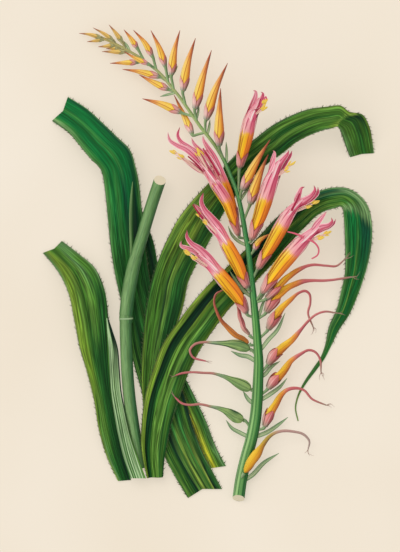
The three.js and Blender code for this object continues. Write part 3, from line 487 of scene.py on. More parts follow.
def sum_of(tree, kind, first, second, third=0.0):
    return wire(tree, "ShaderNodeMath", {0: first, 1: second, 2: third}, operation=kind).outputs[0]


def mix_of(tree, share, first, second):
    """A colour that goes from the first to the second as the share goes from 0 to 1."""
    return wire(tree, "ShaderNodeMix", {0: share, 6: first, 7: second}, data_type="RGBA").outputs[2]


def range_of(tree, value, low, high, start=0.0, end=1.0, **settings):
    """Where a value lies between low and high, as a value from start to end."""
    return wire(tree, "ShaderNodeMapRange", {
        "Value": value, "From Min": low, "From Max": high, "To Min": start, "To Max": end},
        **settings).outputs[0]


def base_colour(tree, rows, across, along):
    """Colours across the piece, a ramp for each row, which run into each other along it."""
    colour = None
    previous = None
    for stop, tints in rows:
        ramp = wire(tree, "ShaderNodeValToRGB", {"Fac": across})
        elements = ramp.color_ramp.elements
        elements.remove(elements[1])
        for k, (share, tint) in enumerate(tints):
            element = elements[0] if k == 0 else elements.new(share)
            element.position = share
            element.color = paint(*tint)
        if colour is None:
            colour = ramp.outputs["Color"]
        else:
            step = range_of(tree, along, previous, stop, interpolation_type="SMOOTHSTEP")
            colour = mix_of(tree, step, colour, ramp.outputs["Color"])
        previous = stop
    return colour


def lined(tree, colour, lines, drift, along):
    """The colour under sets of lengthwise lines, which fade in and out along the piece."""
    for tint, count, width, strength, start, end in lines:
        crest = sum_of(tree, "COSINE", sum_of(tree, "MULTIPLY", drift, 2 * math.pi * count), 0.0)
        begun = range_of(tree, along, start - LINE_FADE, start + LINE_FADE, 0.0, strength)
        lasting = range_of(tree, along, end - LINE_FADE, end + LINE_FADE, begun, 0.0)
        drawn = range_of(tree, crest, 1 - 2 * width, 1.0, 0.0, lasting)
        colour = mix_of(tree, drawn, colour, paint(*tint))
    return colour


def rimmed(tree, colour, rim, tip_rim, across, along):
    """The colour with both margins tinted."""
    tint, depth, strength = rim
    tint = paint(*tint)
    if tip_rim:
        past = range_of(tree, along, tip_rim[1] - LINE_FADE, tip_rim[1] + LINE_FADE)
        tint = mix_of(tree, past, tint, paint(*tip_rim[0]))
    margin = sum_of(tree, "ABSOLUTE", sum_of(tree, "MULTIPLY_ADD", across, 2.0, -1.0), 0.0)
    near = range_of(tree, margin, 1 - 2 * depth, 1 - depth, 0.0, strength)
    return mix_of(tree, near, colour, tint)


def veined(tree, shade, veins, depth, end, broad, spot):
    """The shade under veins that stray a little and fade at their end."""
    strayed = sum_of(tree, "MULTIPLY_ADD", broad, VEIN_DRIFT, spot["X"])
    wave = sum_of(tree, "SINE", sum_of(tree, "MULTIPLY", strayed, 2 * math.pi * veins), 0.0)
    fading = range_of(tree, spot["Y"], end - VEIN_FADE, end + VEIN_FADE, depth * 1.6, depth * 0.3)
    strength = sum_of(tree, "MULTIPLY", sum_of(tree, "MULTIPLY", broad, fading), wave)
    return sum_of(tree, "MULTIPLY_ADD", shade, strength, shade)


def finish_skin(tree, colour, shade, fine):
    """Joins colour, shade and growth lines to the material's surface."""
    shaded = wire(tree, "ShaderNodeVectorMath", {0: colour, "Scale": shade}, operation="SCALE")
    bump = wire(tree, "ShaderNodeBump", {
        "Height": fine, "Distance": SKIN_RELIEF_DEPTH, "Strength": SKIN_RELIEF})
    roughness = sum_of(tree, "MULTIPLY_ADD", fine, ROUGHNESS_SPREAD, SKIN_ROUGHNESS)
    skin = tree.nodes["Principled BSDF"]
    tree.links.new(shaded.outputs[0], skin.inputs["Base Color"])
    tree.links.new(roughness, skin.inputs["Roughness"])
    tree.links.new(bump.outputs["Normal"], skin.inputs["Normal"])
    skin.inputs["Specular IOR Level"].default_value = 0.1


def painted(name, rows, by="across", jag=0.03, contrast=0.5, spacing=1.0, length=28.0, shift=0.0,
            veins=0, vein_depth=0.3, vein_end=2.0, rim=None, skew=0.0, lines=(), tip_rim=None):
    """A plant skin. Each row is a place along the piece with colours across it, or round it from
    its lit side to its shaded one; they run into each other lengthwise, under growth lines and
    veins, which fade at their end. A rim is a colour for both margins, its reach and strength; a tip
    rim is its colour past a share of the length. Each set of lines is a colour, its count across,
    width and strength, and the shares of the length where it starts and ends."""
    material = bpy.data.materials.new(name)
    material.use_nodes = True
    tree = material.node_tree
    attribute = wire(tree, "ShaderNodeAttribute", attribute_name="spot")
    spot = wire(tree, "ShaderNodeSeparateXYZ", {0: attribute.outputs["Vector"]}).outputs
    fine = lines_of(tree, spacing, length, shift)
    broad = lines_of(tree, spacing * 3.2, length * 1.8, shift + 7.0)
    if by == "across":
        base = spot["X"]
    else:
        base = sum_of(tree, "MULTIPLY_ADD", spot["Z"], 0.5, 0.5)
    steady = sum_of(tree, "SUBTRACT", base, COLOUR_WANDER / 2)
    wandered = sum_of(tree, "MULTIPLY_ADD", broad, COLOUR_WANDER, steady)
    skewed = sum_of(tree, "MULTIPLY_ADD", spot["X"], skew, spot["Y"])
    jagged = sum_of(tree, "MULTIPLY_ADD", fine, jag, sum_of(tree, "SUBTRACT", skewed, jag / 2))
    drift = sum_of(tree, "MULTIPLY_ADD", broad, COLOUR_WANDER, spot["X"])
    colour = lined(tree, base_colour(tree, rows, wandered, jagged), lines, drift, jagged)
    if rim:
        colour = rimmed(tree, colour, rim, tip_rim, spot["X"], jagged)
    deeper = sum_of(tree, "MULTIPLY_ADD", fine, contrast, 1 - contrast * 0.5)
    softer = sum_of(tree, "MULTIPLY_ADD", broad, contrast * 0.5, 1 - contrast * 0.25)
    shade = sum_of(tree, "MULTIPLY", deeper, softer)
    if veins:
        shade = veined(tree, shade, veins, vein_depth, vein_end, broad, spot)
    finish_skin(tree, colour, shade, fine)
    return material


LEAF_PAINT = {
    "leaf_far": [
        (0.06, [(0, DEEP), (0.08, LIGHT), (0.13, DEEP), (0.2, MID), (0.28, DEEP), (0.36, NIGHT),
                (0.42, LIGHT), (0.47, DEEP), (0.54, STRAW), (0.59, DEEP), (0.66, LIGHT), (0.72, FOREST),
                (0.78, STRAW), (0.84, NIGHT), (0.93, FOREST), (1, DUSTY)]),
        (0.2, [(0, FOREST), (0.08, LIGHT), (0.14, DEEP), (0.22, MID), (0.3, NIGHT), (0.42, NIGHT),
               (0.48, JADE), (0.53, DEEP), (0.58, LIGHT), (0.64, DEEP), (0.72, JADE), (0.78, DEEP),
               (0.86, MID), (0.95, NIGHT)]),
        (0.5, [(0, DUSTY), (0.08, FOREST), (0.3, DEEP), (0.5, FOREST), (0.6, DEEP), (0.7, FOREST),
               (0.8, DEEP), (1, DEEP)]),
        (0.64, [(0, DUSTY), (0.1, JADE), (0.24, EMERALD), (0.34, JADE), (0.46, EMERALD), (0.54, TEAL),
                (0.7, EMERALD), (0.84, TEAL), (0.94, FOREST), (1, DUSTY)]),
        (0.78, [(0, DUSTY), (0.1, JADE), (0.2, EMERALD), (0.4, EMERALD), (0.44, DEEP), (0.48, EMERALD),
                (0.54, JADE), (0.64, EMERALD), (0.84, EMERALD), (0.94, TEAL), (1, DUSTY)]),
        (1.0, [(0, DUSTY), (0.1, SAGE), (0.16, JADE), (0.26, EMERALD), (0.38, EMERALD), (0.43, DEEP),
               (0.47, EMERALD), (0.54, JADE), (0.64, EMERALD), (0.9, EMERALD), (0.96, TEAL), (1, JADE)]),
    ],
    "leaf_under": [
        (0.06, [(0, FOREST), (0.15, FOREST), (0.28, MID), (0.36, LIGHT), (0.43, DEEP), (0.5, MOSS),
                (0.55, FLAME), (0.62, OLIVE), (0.68, FLAME), (0.76, LIME), (0.84, MID), (0.93, DUSTY)]),
        (0.2, [(0, DEEP), (0.2, FOREST), (0.38, FOREST), (0.46, DEEP), (0.55, NIGHT), (0.62, FLAME),
               (0.68, OLIVE), (0.76, MID), (0.9, FOREST), (1, DUSTY)]),
        (0.42, [(0, DEEP), (0.3, DEEP), (0.45, NIGHT), (0.6, FOREST), (0.72, DEEP), (0.85, NIGHT),
                (1, FOREST)]),
    ],
    "leaf_front": [
        (0.06, [(0, OLIVE), (0.14, DUSTY), (0.25, FOREST), (0.5, DEEP), (0.7, DEEP), (0.85, NIGHT),
                (1, FOREST)]),
        (0.25, [(0, STRAW), (0.12, MID), (0.24, LIGHT), (0.42, MID), (0.55, FOREST), (0.74, DEEP),
                (0.9, DEEP), (1, MID)]),
        (0.45, [(0, STRAW), (0.13, LIME), (0.24, LIME), (0.35, MID), (0.45, FOREST), (0.64, DEEP),
                (0.88, DEEP), (1, MID)]),
        (0.66, [(0, STRAW), (0.13, LIME), (0.27, LIGHT), (0.36, MOSS), (0.45, MOSS), (0.54, LIGHT),
                (0.66, MID), (0.78, FOREST), (0.88, DEEP), (1, FOREST)]),
        (0.86, [(0, DUSTY), (0.1, OLIVE), (0.22, LIME), (0.3, OLIVE), (0.4, MOSS), (0.46, MOSS),
                (0.55, LIGHT), (0.66, DUSTY), (0.78, MID), (0.9, MID), (1, SAGE)]),
        (1.0, [(0, DUSTY), (0.2, OLIVE), (0.34, MID), (0.46, MOSS), (0.6, MID), (0.8, DUSTY), (1, DUSTY)]),
    ],
    "leaf_arching": [
        (0.12, [(0, OLIVE), (0.14, MOSS), (0.3, MID), (0.4, LIGHT), (0.5, MOSS), (0.65, DEEP), (1, DEEP)]),
        (0.27, [(0, FOREST), (0.14, MID), (0.27, MOSS), (0.38, MID), (0.45, NIGHT), (0.53, LIGHT),
                (0.63, FOREST), (0.75, DEEP), (0.92, DEEP), (1, OLIVE)]),
        (0.42, [(0, STRAW), (0.12, LIGHT), (0.25, OLIVE), (0.42, MOSS), (0.53, OLIVE), (0.65, MOSS),
                (0.8, DEEP), (1, MID)]),
        (0.56, [(0, DUSTY), (0.1, FOREST), (0.2, MID), (0.3, FOREST), (0.42, LIGHT), (0.5, DEEP),
                (0.6, MID), (0.7, FOREST), (0.8, DEEP), (1, FOREST)]),
        (0.68, [(0, DUSTY), (0.12, MID), (0.25, LIGHT), (0.35, FOREST), (0.48, DEEP), (0.57, LIGHT),
                (0.66, MID), (0.77, DEEP), (0.9, DEEP), (1, MID)]),
        (0.8, [(0, OLIVE), (0.12, LIGHT), (0.24, MID), (0.35, MID), (0.45, FOREST), (0.54, LIGHT),
               (0.75, MID), (0.9, MID), (1, DUSTY)]),
        # Rows 0.845 to 0.872 paint a highlight on the crest of the fold and a painted shadow just past it,
        # slanted along the fold by the leaf's skew.
        (0.845, [(0, OLIVE), (0.3, MID), (0.6, MID), (1, OLIVE)]),
        (0.862, [(0, STRAW), (0.4, LIGHT), (1, STRAW)]),
        (0.872, [(0, MOSS), (0.12, NIGHT), (0.35, DEEP), (0.6, MOSS), (1, MID)]),
        (0.94, [(0, OLIVE), (0.1, FOREST), (0.25, MOSS), (0.4, FOREST), (0.6, MID), (0.85, MID),
                (1, DUSTY)]),
        (1.0, [(0, DUSTY), (0.15, MID), (0.4, FOREST), (0.7, MID), (1, DUSTY)]),
    ],
    "leaf_channelled": [
        (0.1, [(0, STRAW), (0.14, LIME), (0.18, NIGHT), (0.36, DEEP), (0.42, MID), (0.48, LIGHT),
               (0.55, MOSS), (0.62, LIGHT), (0.68, LIGHT), (0.74, FOREST), (0.84, MID), (0.95, DEEP)]),
        (0.25, [(0, LIME), (0.11, STRAW), (0.16, MOSS), (0.21, NIGHT), (0.39, NIGHT), (0.44, LIME),
                (0.53, MOSS), (0.6, MOSS), (0.65, LIGHT), (0.75, FOREST), (0.9, MOSS), (1, OLIVE)]),
        (0.38, [(0, DUSTY), (0.1, TEAL), (0.3, TEAL), (0.42, NIGHT), (0.52, FOREST), (0.6, LIGHT),
                (0.66, FOREST), (0.76, FOREST), (0.9, DEEP), (1, MID)]),
        (0.48, [(0, DUSTY), (0.14, TEAL), (0.28, DUSTY), (0.36, TEAL), (0.46, FOREST), (0.56, MID),
                (0.64, LIGHT), (0.74, DEEP), (0.84, LIGHT), (0.92, FOREST), (1, MID)]),
        (0.56, [(0, DUSTY), (0.12, SAGE), (0.25, DUSTY), (0.34, FOREST), (0.44, LIGHT), (0.54, MID),
                (0.66, FOREST), (0.76, MID), (0.86, LIGHT), (1, DUSTY)]),
        (0.605, [(0, SAGE), (0.5, DUSTY), (1, SAGE)]),
        (0.62, [(0, DUSTY), (0.08, TEAL), (0.34, TEAL), (0.46, EMERALD), (0.5, JADE), (0.56, EMERALD),
                (0.82, EMERALD), (0.92, JADE), (1, DUSTY)]),
        (0.74, [(0, DUSTY), (0.08, FOREST), (0.3, EMERALD), (0.48, FOREST), (0.52, LIGHT), (0.56, LIGHT),
                (0.6, EMERALD), (0.82, FOREST), (1, DUSTY)]),
        (0.86, [(0, DUSTY), (0.2, FOREST), (0.48, EMERALD), (0.53, LIGHT), (0.58, FOREST), (1, DUSTY)]),
        (0.93, [(0, DUSTY), (0.5, FOREST), (1, DUSTY)]),
        (0.97, [(0, DUSTY), (0.5, OLIVE), (1, DUSTY)]),
        (1.0, [(0, STRAW), (1, DUSTY)]),
    ],
    # Its upper rows paint the inner half of the folded leaf dark, as painted shade.
    "leaf_sheathing": [
        (0.1, [(0, DUSTY), (0.1, PALE), (0.17, FOREST), (0.24, SAGE), (0.33, FOREST), (0.4, PALE),
               (0.5, DUSTY), (0.6, PALE), (0.68, SAGE), (0.74, DUSTY), (0.84, PALE), (0.94, MID)]),
        (0.5, [(0, DUSTY), (0.1, PALE), (0.18, FOREST), (0.25, PALE), (0.34, MID), (0.42, PALE),
               (0.52, DUSTY), (0.6, PALE), (0.7, SAGE), (0.84, PALE), (0.9, NIGHT)]),
        (0.85, [(0, DUSTY), (0.12, PALE), (0.36, PALE), (0.44, DUSTY), (0.52, NIGHT), (1, NIGHT)]),
    ],
}
RIM = ((60, 84, 50), 0.02, 0.55)
LEAVES = [
    ("leaf_far", far_leaf, GUTTER, (4, 3), 32, 12, "deep_green", 0.0, 0.6),
    ("leaf_under", under_leaf, GUTTER, (1, 0), 20, 12, "teal_green", 0.0, 2.0),
    ("leaf_front", front_leaf, GUTTER, (0, 2), 22, 10, "leaf_green", 0.0, 0.9),
    ("leaf_arching", arching_leaf, GUTTER, (0, 1), 38, 11, "leaf_green", 0.07, 2.0),
    ("leaf_channelled", channelled_leaf, FOLDED_GUTTER, (0, 0), 40, 11, "teal_green", 0.045, 2.0),
    ("leaf_sheathing", sheathing_leaf, CREASE, (0, 0), 18, 7, "sage_green", 0.0, 2.0),
]
margins = []
for k, (name, rows, profile, notches, coarse, veins, slot, skew, vein_end) in enumerate(LEAVES):
    leaf_shape = Shape()
    thickness = SHEATH_THICKNESS if name == "leaf_sheathing" else LEAF_THICKNESS
    size = (STATIONS_A_ROW * len(rows), COLUMNS_A_VEIN * veins + 1)
    edges = blade(leaf_shape, rows, profile, thickness, size, notches, veins, coarse)
    leaf_skin = painted(f"{name} skin", LEAF_PAINT[name], contrast=0.86, spacing=0.68, length=20.0,
                        shift=3.0 * k, veins=veins, vein_depth=0.42, vein_end=vein_end, rim=RIM, skew=skew)
    leaf_shape.build(f"{name}_blade", [leaf_skin], [name])
    if name != "leaf_sheathing":
        margins.append(edges)

# Horny spines on both margins of the leaves, hooked towards the leaf tip, with finer hairs
# between them. They grow out of the leaf's edge; the pale sheathing leaf has none.
SPINE_LENGTH = 2.4 * MM
SPINE_RADIUS = 0.36 * MM
SPINE_EVERY = 4.2 * MM
SPINE_SUNK = 0.35 * MM
HAIR_LENGTH = 1.7 * MM
HAIR_RADIUS = 0.14 * MM
HAIR_EVERY = 1.1 * MM
HAIR_SUNK = 0.1 * MM
SMOOTH_WIDTH = 5 * MM
LEAST_SPIKE = 0.65
LARGEST_SPIKE = 1.15


def spike_tree():
    """Geometry nodes: a hooked spike on every point, along its lean and bent tipward."""
    tree = bpy.data.node_groups.new("spikes", "GeometryNodeTree")
    tree.interface.new_socket(name="Geometry", in_out="INPUT", socket_type="NodeSocketGeometry")
    for name in ("Length", "Radius", "Hook", "Belly"):
        tree.interface.new_socket(name=name, in_out="INPUT", socket_type="NodeSocketFloat")
    for name in ("Seed", "Sides", "Steps"):
        tree.interface.new_socket(name=name, in_out="INPUT", socket_type="NodeSocketInt")
    tree.interface.new_socket(name="Material", in_out="INPUT", socket_type="NodeSocketMaterial")
    tree.interface.new_socket(name="Geometry", in_out="OUTPUT", socket_type="NodeSocketGeometry")
    entry = wire(tree, "NodeGroupInput").outputs
    reach = sum_of(tree, "MULTIPLY", entry["Length"], 0.6)
    bent = sum_of(tree, "MULTIPLY", entry["Length"], entry["Hook"])
    middle = wire(tree, "ShaderNodeCombineXYZ", {"Z": reach})
    end = wire(tree, "ShaderNodeCombineXYZ", {"Y": bent, "Z": entry["Length"]})
    line = wire(tree, "GeometryNodeCurveQuadraticBezier", {
        "Resolution": entry["Steps"], "Start": (0, 0, 0), "Middle": middle.outputs[0],
        "End": end.outputs[0]})
    ring = wire(tree, "GeometryNodeCurvePrimitiveCircle", {
        "Resolution": entry["Sides"], "Radius": entry["Radius"]})
    factor = wire(tree, "GeometryNodeSplineParameter").outputs["Factor"]
    cone = sum_of(tree, "SUBTRACT", 1.0, factor)
    belly = sum_of(tree, "MULTIPLY_ADD", sum_of(tree, "MULTIPLY", cone, factor), 3.6, 0.15)
    swell = wire(tree, "ShaderNodeMapRange", {
        "Value": entry["Belly"], "To Min": cone, "To Max": belly}).outputs[0]
    body = wire(tree, "GeometryNodeCurveToMesh", {
        "Curve": line.outputs[0], "Profile Curve": ring.outputs[0], "Scale": swell, "Fill Caps": True})
    lean = wire(tree, "GeometryNodeInputNamedAttribute", {"Name": "lean"}, data_type="FLOAT_VECTOR")
    tipward = wire(tree, "GeometryNodeInputNamedAttribute", {"Name": "tipward"}, data_type="FLOAT_VECTOR")
    upright = wire(tree, "FunctionNodeAlignRotationToVector", {"Vector": lean.outputs[0]}, axis="Z")
    turned = wire(tree, "FunctionNodeAlignRotationToVector", {
        "Rotation": upright.outputs[0], "Vector": tipward.outputs[0]}, axis="Y", pivot_axis="Z")
    scale = wire(tree, "FunctionNodeRandomValue", {
        2: LEAST_SPIKE, 3: LARGEST_SPIKE, "Seed": entry["Seed"]})
    copies = wire(tree, "GeometryNodeInstanceOnPoints", {
        "Points": entry["Geometry"], "Instance": body.outputs[0], "Rotation": turned.outputs[0],
        "Scale": scale.outputs[1]})
    whole = wire(tree, "GeometryNodeRealizeInstances", {"Geometry": copies.outputs[0]})
    smooth = wire(tree, "GeometryNodeSetShadeSmooth", {"Geometry": whole.outputs[0], "Shade Smooth": True})
    skinned = wire(tree, "GeometryNodeSetMaterial", {
        "Geometry": smooth.outputs[0], "Material": entry["Material"]})
    leave = wire(tree, "NodeGroupOutput")
    tree.links.new(skinned.outputs[0], leave.inputs["Geometry"])
    return tree


SPIKES = spike_tree()


def grow_spikes(name, roots, leans, tipwards, values, slot):
    """One piece of spikes on the given roots. Values are the tree's named inputs."""
    seeds = bpy.data.meshes.new(f"{name} roots")
    seeds.from_pydata(np.array(roots).tolist(), [], [])
    for label, rows in (("lean", leans), ("tipward", tipwards)):
        attribute = seeds.attributes.new(label, "FLOAT_VECTOR", "POINT")
        attribute.data.foreach_set("vector", np.array(rows, np.float32).ravel())
    source = keep(bpy.data.objects.new(f"{name} roots", seeds))
    growth = source.modifiers.new("spikes", "NODES")
    growth.node_group = SPIKES
    entries = [item for item in SPIKES.interface.items_tree if item.in_out == "INPUT"]
    sockets = {item.name: item.identifier for item in entries}
    for label, value in values.items():
        growth[sockets[label]] = value
    ready = source.evaluated_get(bpy.context.evaluated_depsgraph_get())
    mesh = bpy.data.meshes.new_from_object(ready)
    bpy.data.objects.remove(source)
    piece = keep(bpy.data.objects.new(name, mesh))
    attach(piece, "root")


def plain(name, tint, rough=0.6):
    """A skin of one colour."""
    material = bpy.data.materials.new(name)
    material.use_nodes = True
    skin = material.node_tree.nodes["Principled BSDF"]
    skin.inputs["Base Color"].default_value = paint(*tint)
    skin.inputs["Roughness"].default_value = rough
    skin.inputs["Specular IOR Level"].default_value = 0.25
    return material


def margin_roots(every, sunk, forward, seed):
    """Points along both margins of each leaf, but for its thin tail, with the way out and the way
    to the tip."""
    random = np.random.default_rng(seed)
    roots = []
    leans = []
    tipwards = []
    for left, right, along, across, width in margins:
        for edge, out in ((left, -across), (right, across)):
            steps = np.linalg.norm(np.diff(edge, axis=0), axis=1)
            walked = np.concatenate([[0], np.cumsum(steps)])
            stops = np.arange(every / 2, walked[-1] - every / 2, every)
            stops = stops + random.uniform(-0.3, 0.3, len(stops)) * every
            stops = stops[np.interp(stops, walked, width) > SMOOTH_WIDTH]
            pick = [np.column_stack([np.interp(stops, walked, part[:, k]) for k in range(3)])
                    for part in (edge, out, along)]
            roots.append(pick[0] - pick[1] * sunk)
            leans.append(unit(pick[1] + pick[2] * forward + random.normal(0, 0.12, pick[1].shape)))
            tipwards.append(pick[2])
    return np.concatenate(roots), np.concatenate(leans), np.concatenate(tipwards)


grow_spikes("leaf_spines", *margin_roots(SPINE_EVERY, SPINE_SUNK, 0.5, 4), {
    "Length": SPINE_LENGTH, "Radius": SPINE_RADIUS, "Hook": 0.35, "Belly": 0.0, "Seed": 3, "Sides": 5,
    "Steps": 5, "Material": plain("spine brown", (74, 84, 50))}, "leaf_green")
grow_spikes("leaf_hairs", *margin_roots(HAIR_EVERY, HAIR_SUNK, 0.8, 9), {
    "Length": HAIR_LENGTH, "Radius": HAIR_RADIUS, "Hook": 0.3, "Belly": 0.0, "Seed": 8, "Sides": 4,
    "Steps": 3, "Material": plain("hair green", (78, 94, 58))}, "leaf_green")

# The stump of the flower stalk: ribbed, with a node, a sheath that clasps it above the node and
# runs out in a bract, and a slanting cut at its end.
SCAPE_RADIUS = 4.5 * MM
SHEATH_RADIUS = 5.2 * MM
SLANT_REACH = 9 * MM
SHADE_SIDE = unit(np.array([0.9, -0.35, 0.0]))
scape_course = [
    [141.5, 468, 4.4], [139, 455, 5.0], [135, 435, 6.2], [130.5, 405, 8.0], [128, 380, 9.2],
    [126.5, 350, 10.4], [126, 318, 11.4], [128.5, 294, 12.0], [134, 265, 12.4], [142.5, 236, 12.8],
    [151.5, 206, 13.6], [160, 180.5, 14.6],
]
scape_node = [[126.4, 323, 11.15], [126.1, 318, 11.4], [126.1, 313.5, 11.6]]
node_line = [[126.15, 319.1, 11.35], [126.1, 317.6, 11.42]]
scape_sheath = [[126.1, 315, 11.5], [128.5, 294, 12.0], [134, 265, 12.4], [136.5, 257, 12.5]]
scape_bract = [
    [130, 266, 13.6, 139.5, 262, 12.4, 1.0],
    [130, 248, 13.6, 139, 246, 10.8, 1.7],
    [129.5, 230, 13.4, 137.5, 229, 10.6, 1.8],
    [129.5, 212, 12.8, 136, 212, 11.0, 1.5],
    [130.5, 196, 12.6, 134.8, 196, 11.9, 0.9],
    [132.5, 182, 13.4, 133.5, 182, 13.4, 0.1],
]


def axes(line):
    """The way along a line of points, its right-hand side and its top."""
    along = unit(np.gradient(line, axis=0))
    side = unit(np.cross(along, [0, 0, 1]))
    return along, side, np.cross(side, along)


def tube(shape, course, radii, size, ends=(0, 1), kind=0, cap_kind=None, slant=(0, 0)):
    """A round stem. Radii takes the share along and the angle from the top; a slant tilts a cut
    end, in metres at the top, and fades out into the stem."""
    rings, around = size
    share = np.linspace(*ends, rings)
    centre = course.reach(share)
    along, side, top = axes(centre)
    angle = np.linspace(0, 2 * math.pi, around, endpoint=False)
    outward = top[:, None] * np.cos(angle)[None, :, None] + side[:, None] * np.sin(angle)[None, :, None]
    radius = radii(share[:, None], angle[None, :]) + np.zeros((rings, around))
    sections = centre[:, None] + outward * radius[..., None]
    distance = (share - share[0]) * course.length
    for end, tilt in zip((distance, distance[-1] - distance), slant):
        near = np.clip(1 - end / SLANT_REACH, 0, 1) ** 2
        sections += along[:, None] * (near[:, None] * np.cos(angle)[None, :] * tilt)[..., None]
    grid = np.ones((rings, around))
    spots = np.stack([grid * angle / (2 * math.pi), grid * share[:, None], outward @ SHADE_SIDE], axis=-1)
    turn = radius.max() / MM
    flows = np.stack([grid * np.cos(angle) * turn, grid * np.sin(angle) * turn,
                      grid * distance[:, None] / MM], axis=-1)
    shape.loft(sections, spots, flows, kind=kind, cap_kind=cap_kind)


def even(radius, ribs=0, depth=0.0):
    """Radii of a plain stem, with shallow ribs along it."""
    return lambda share, angle: radius * (1 + depth * np.cos(ribs * angle))


scape_shape = Shape()
tube(scape_shape, Course(place(scape_course)), even(SCAPE_RADIUS, 12, 0.018), (120, 48), cap_kind=1,
     slant=(0, -3.2 * MM))
tube(scape_shape, Course(place(scape_node)),
     lambda share, angle: SCAPE_RADIUS + 0.55 * MM * np.sin(math.pi * share) ** 0.6, (16, 40))
tube(scape_shape, Course(place(node_line)), even(SCAPE_RADIUS + 0.72 * MM), (4, 40), kind=2, cap_kind=2)
tube(scape_shape, Course(place(scape_sheath)),
     lambda share, angle: SHEATH_RADIUS - 0.45 * MM * share**4 + 0.06 * MM * np.cos(10 * angle), (50, 48))
blade(scape_shape, scape_bract, GUTTER, SHEATH_THICKNESS, (60, 17), veins=5, kind=3)
scape_shape.build("scape_stalk", [
    # Round the stalk the skin goes from the lit side to painted shade.
    painted("scape skin", [
        (0.1, [(0, DUSTY), (0.2, SAGE), (0.45, SAGE), (0.6, DUSTY), (0.8, (62, 104, 66)),
               (1, FOREST)]),
        (0.8, [(0, DUSTY), (0.2, SAGE), (0.5, (112, 146, 92)), (0.7, DUSTY), (1, (66, 100, 66))]),
    ], by="side", contrast=0.45, spacing=0.8, length=9,
        lines=[((40, 92, 60), 6, 0.14, 0.45, -1, 2)]),
    plain("stalk cut face", (226, 216, 188), 0.8),
    plain("stalk node", (150, 178, 132)),
    # The bract's dark inner part is painted shade in its folded hollow.
    painted("stalk bract skin", [
        (0.2, [(0, SAGE), (0.22, SAGE), (0.4, FOREST), (0.6, NIGHT), (1, NIGHT)]),
        (0.9, [(0, SAGE), (0.35, SAGE), (0.55, DEEP), (1, NIGHT)]),
    ]),
], ["scape_stump"])

# The flowering stem, with a pedicel for every bud, bloom and capsule, channelled floral bracts
# and the smallest buds of its tip. Pods, buds and blooms stand off its pedicels.
PEDICEL_RADIUS = 1.1 * MM
PEDICEL_SAG = 0.4 * MM
ROUNDED_SHARE = 0.03
PETAL_COUNT = 3
SEAT_GAP = 0.05 * MM
NECK = 1.6 * MM
BUD_RADII = [0.5, 0.98, 0.96, 0.76, 0.5, 0.27, 0.03]
BRACT_TAPER = [0.9, 1.15, 0.9, 0.1]
stem_course = [
    [238.5, 498, 4.3], [241, 480, 4.9], [246, 458, 6.0], [251, 440, 7.0], [255, 420, 8.0],
    [257, 400, 9.0], [258, 380, 10.2], [258.5, 360, 11.4], [257.5, 345, 12.2], [256, 325, 13.2],
    [254, 305, 14.0], [252, 285, 14.6], [250, 265, 15.0], [248, 248, 15.6], [245.5, 235, 16.0],
    [243, 220, 16.6], [240, 205, 17.2], [236, 190, 17.8], [230, 175, 18.4], [224, 161, 18.8],
    [217, 149, 19.0], [209, 138, 18.8], [201, 128, 18.2], [194, 118, 17.4], [187, 108, 16.4],
    [180, 98, 15.2], [172, 88, 13.8], [164, 78, 12.4], [156, 70, 11.2], [148, 64, 10.2],
    [140, 58, 9.2], [131, 52.5, 8.2], [121, 47, 7.2], [110, 41.5, 6.2], [100, 37.5, 5.4],
    [91, 35, 4.8],
]
stem_radii = [4.5, 4.5, 4.4, 3.9, 3.1, 2.6, 2.1, 1.8, 1.5, 1.3, 1.2, 1.1, 1.0, 0.8]
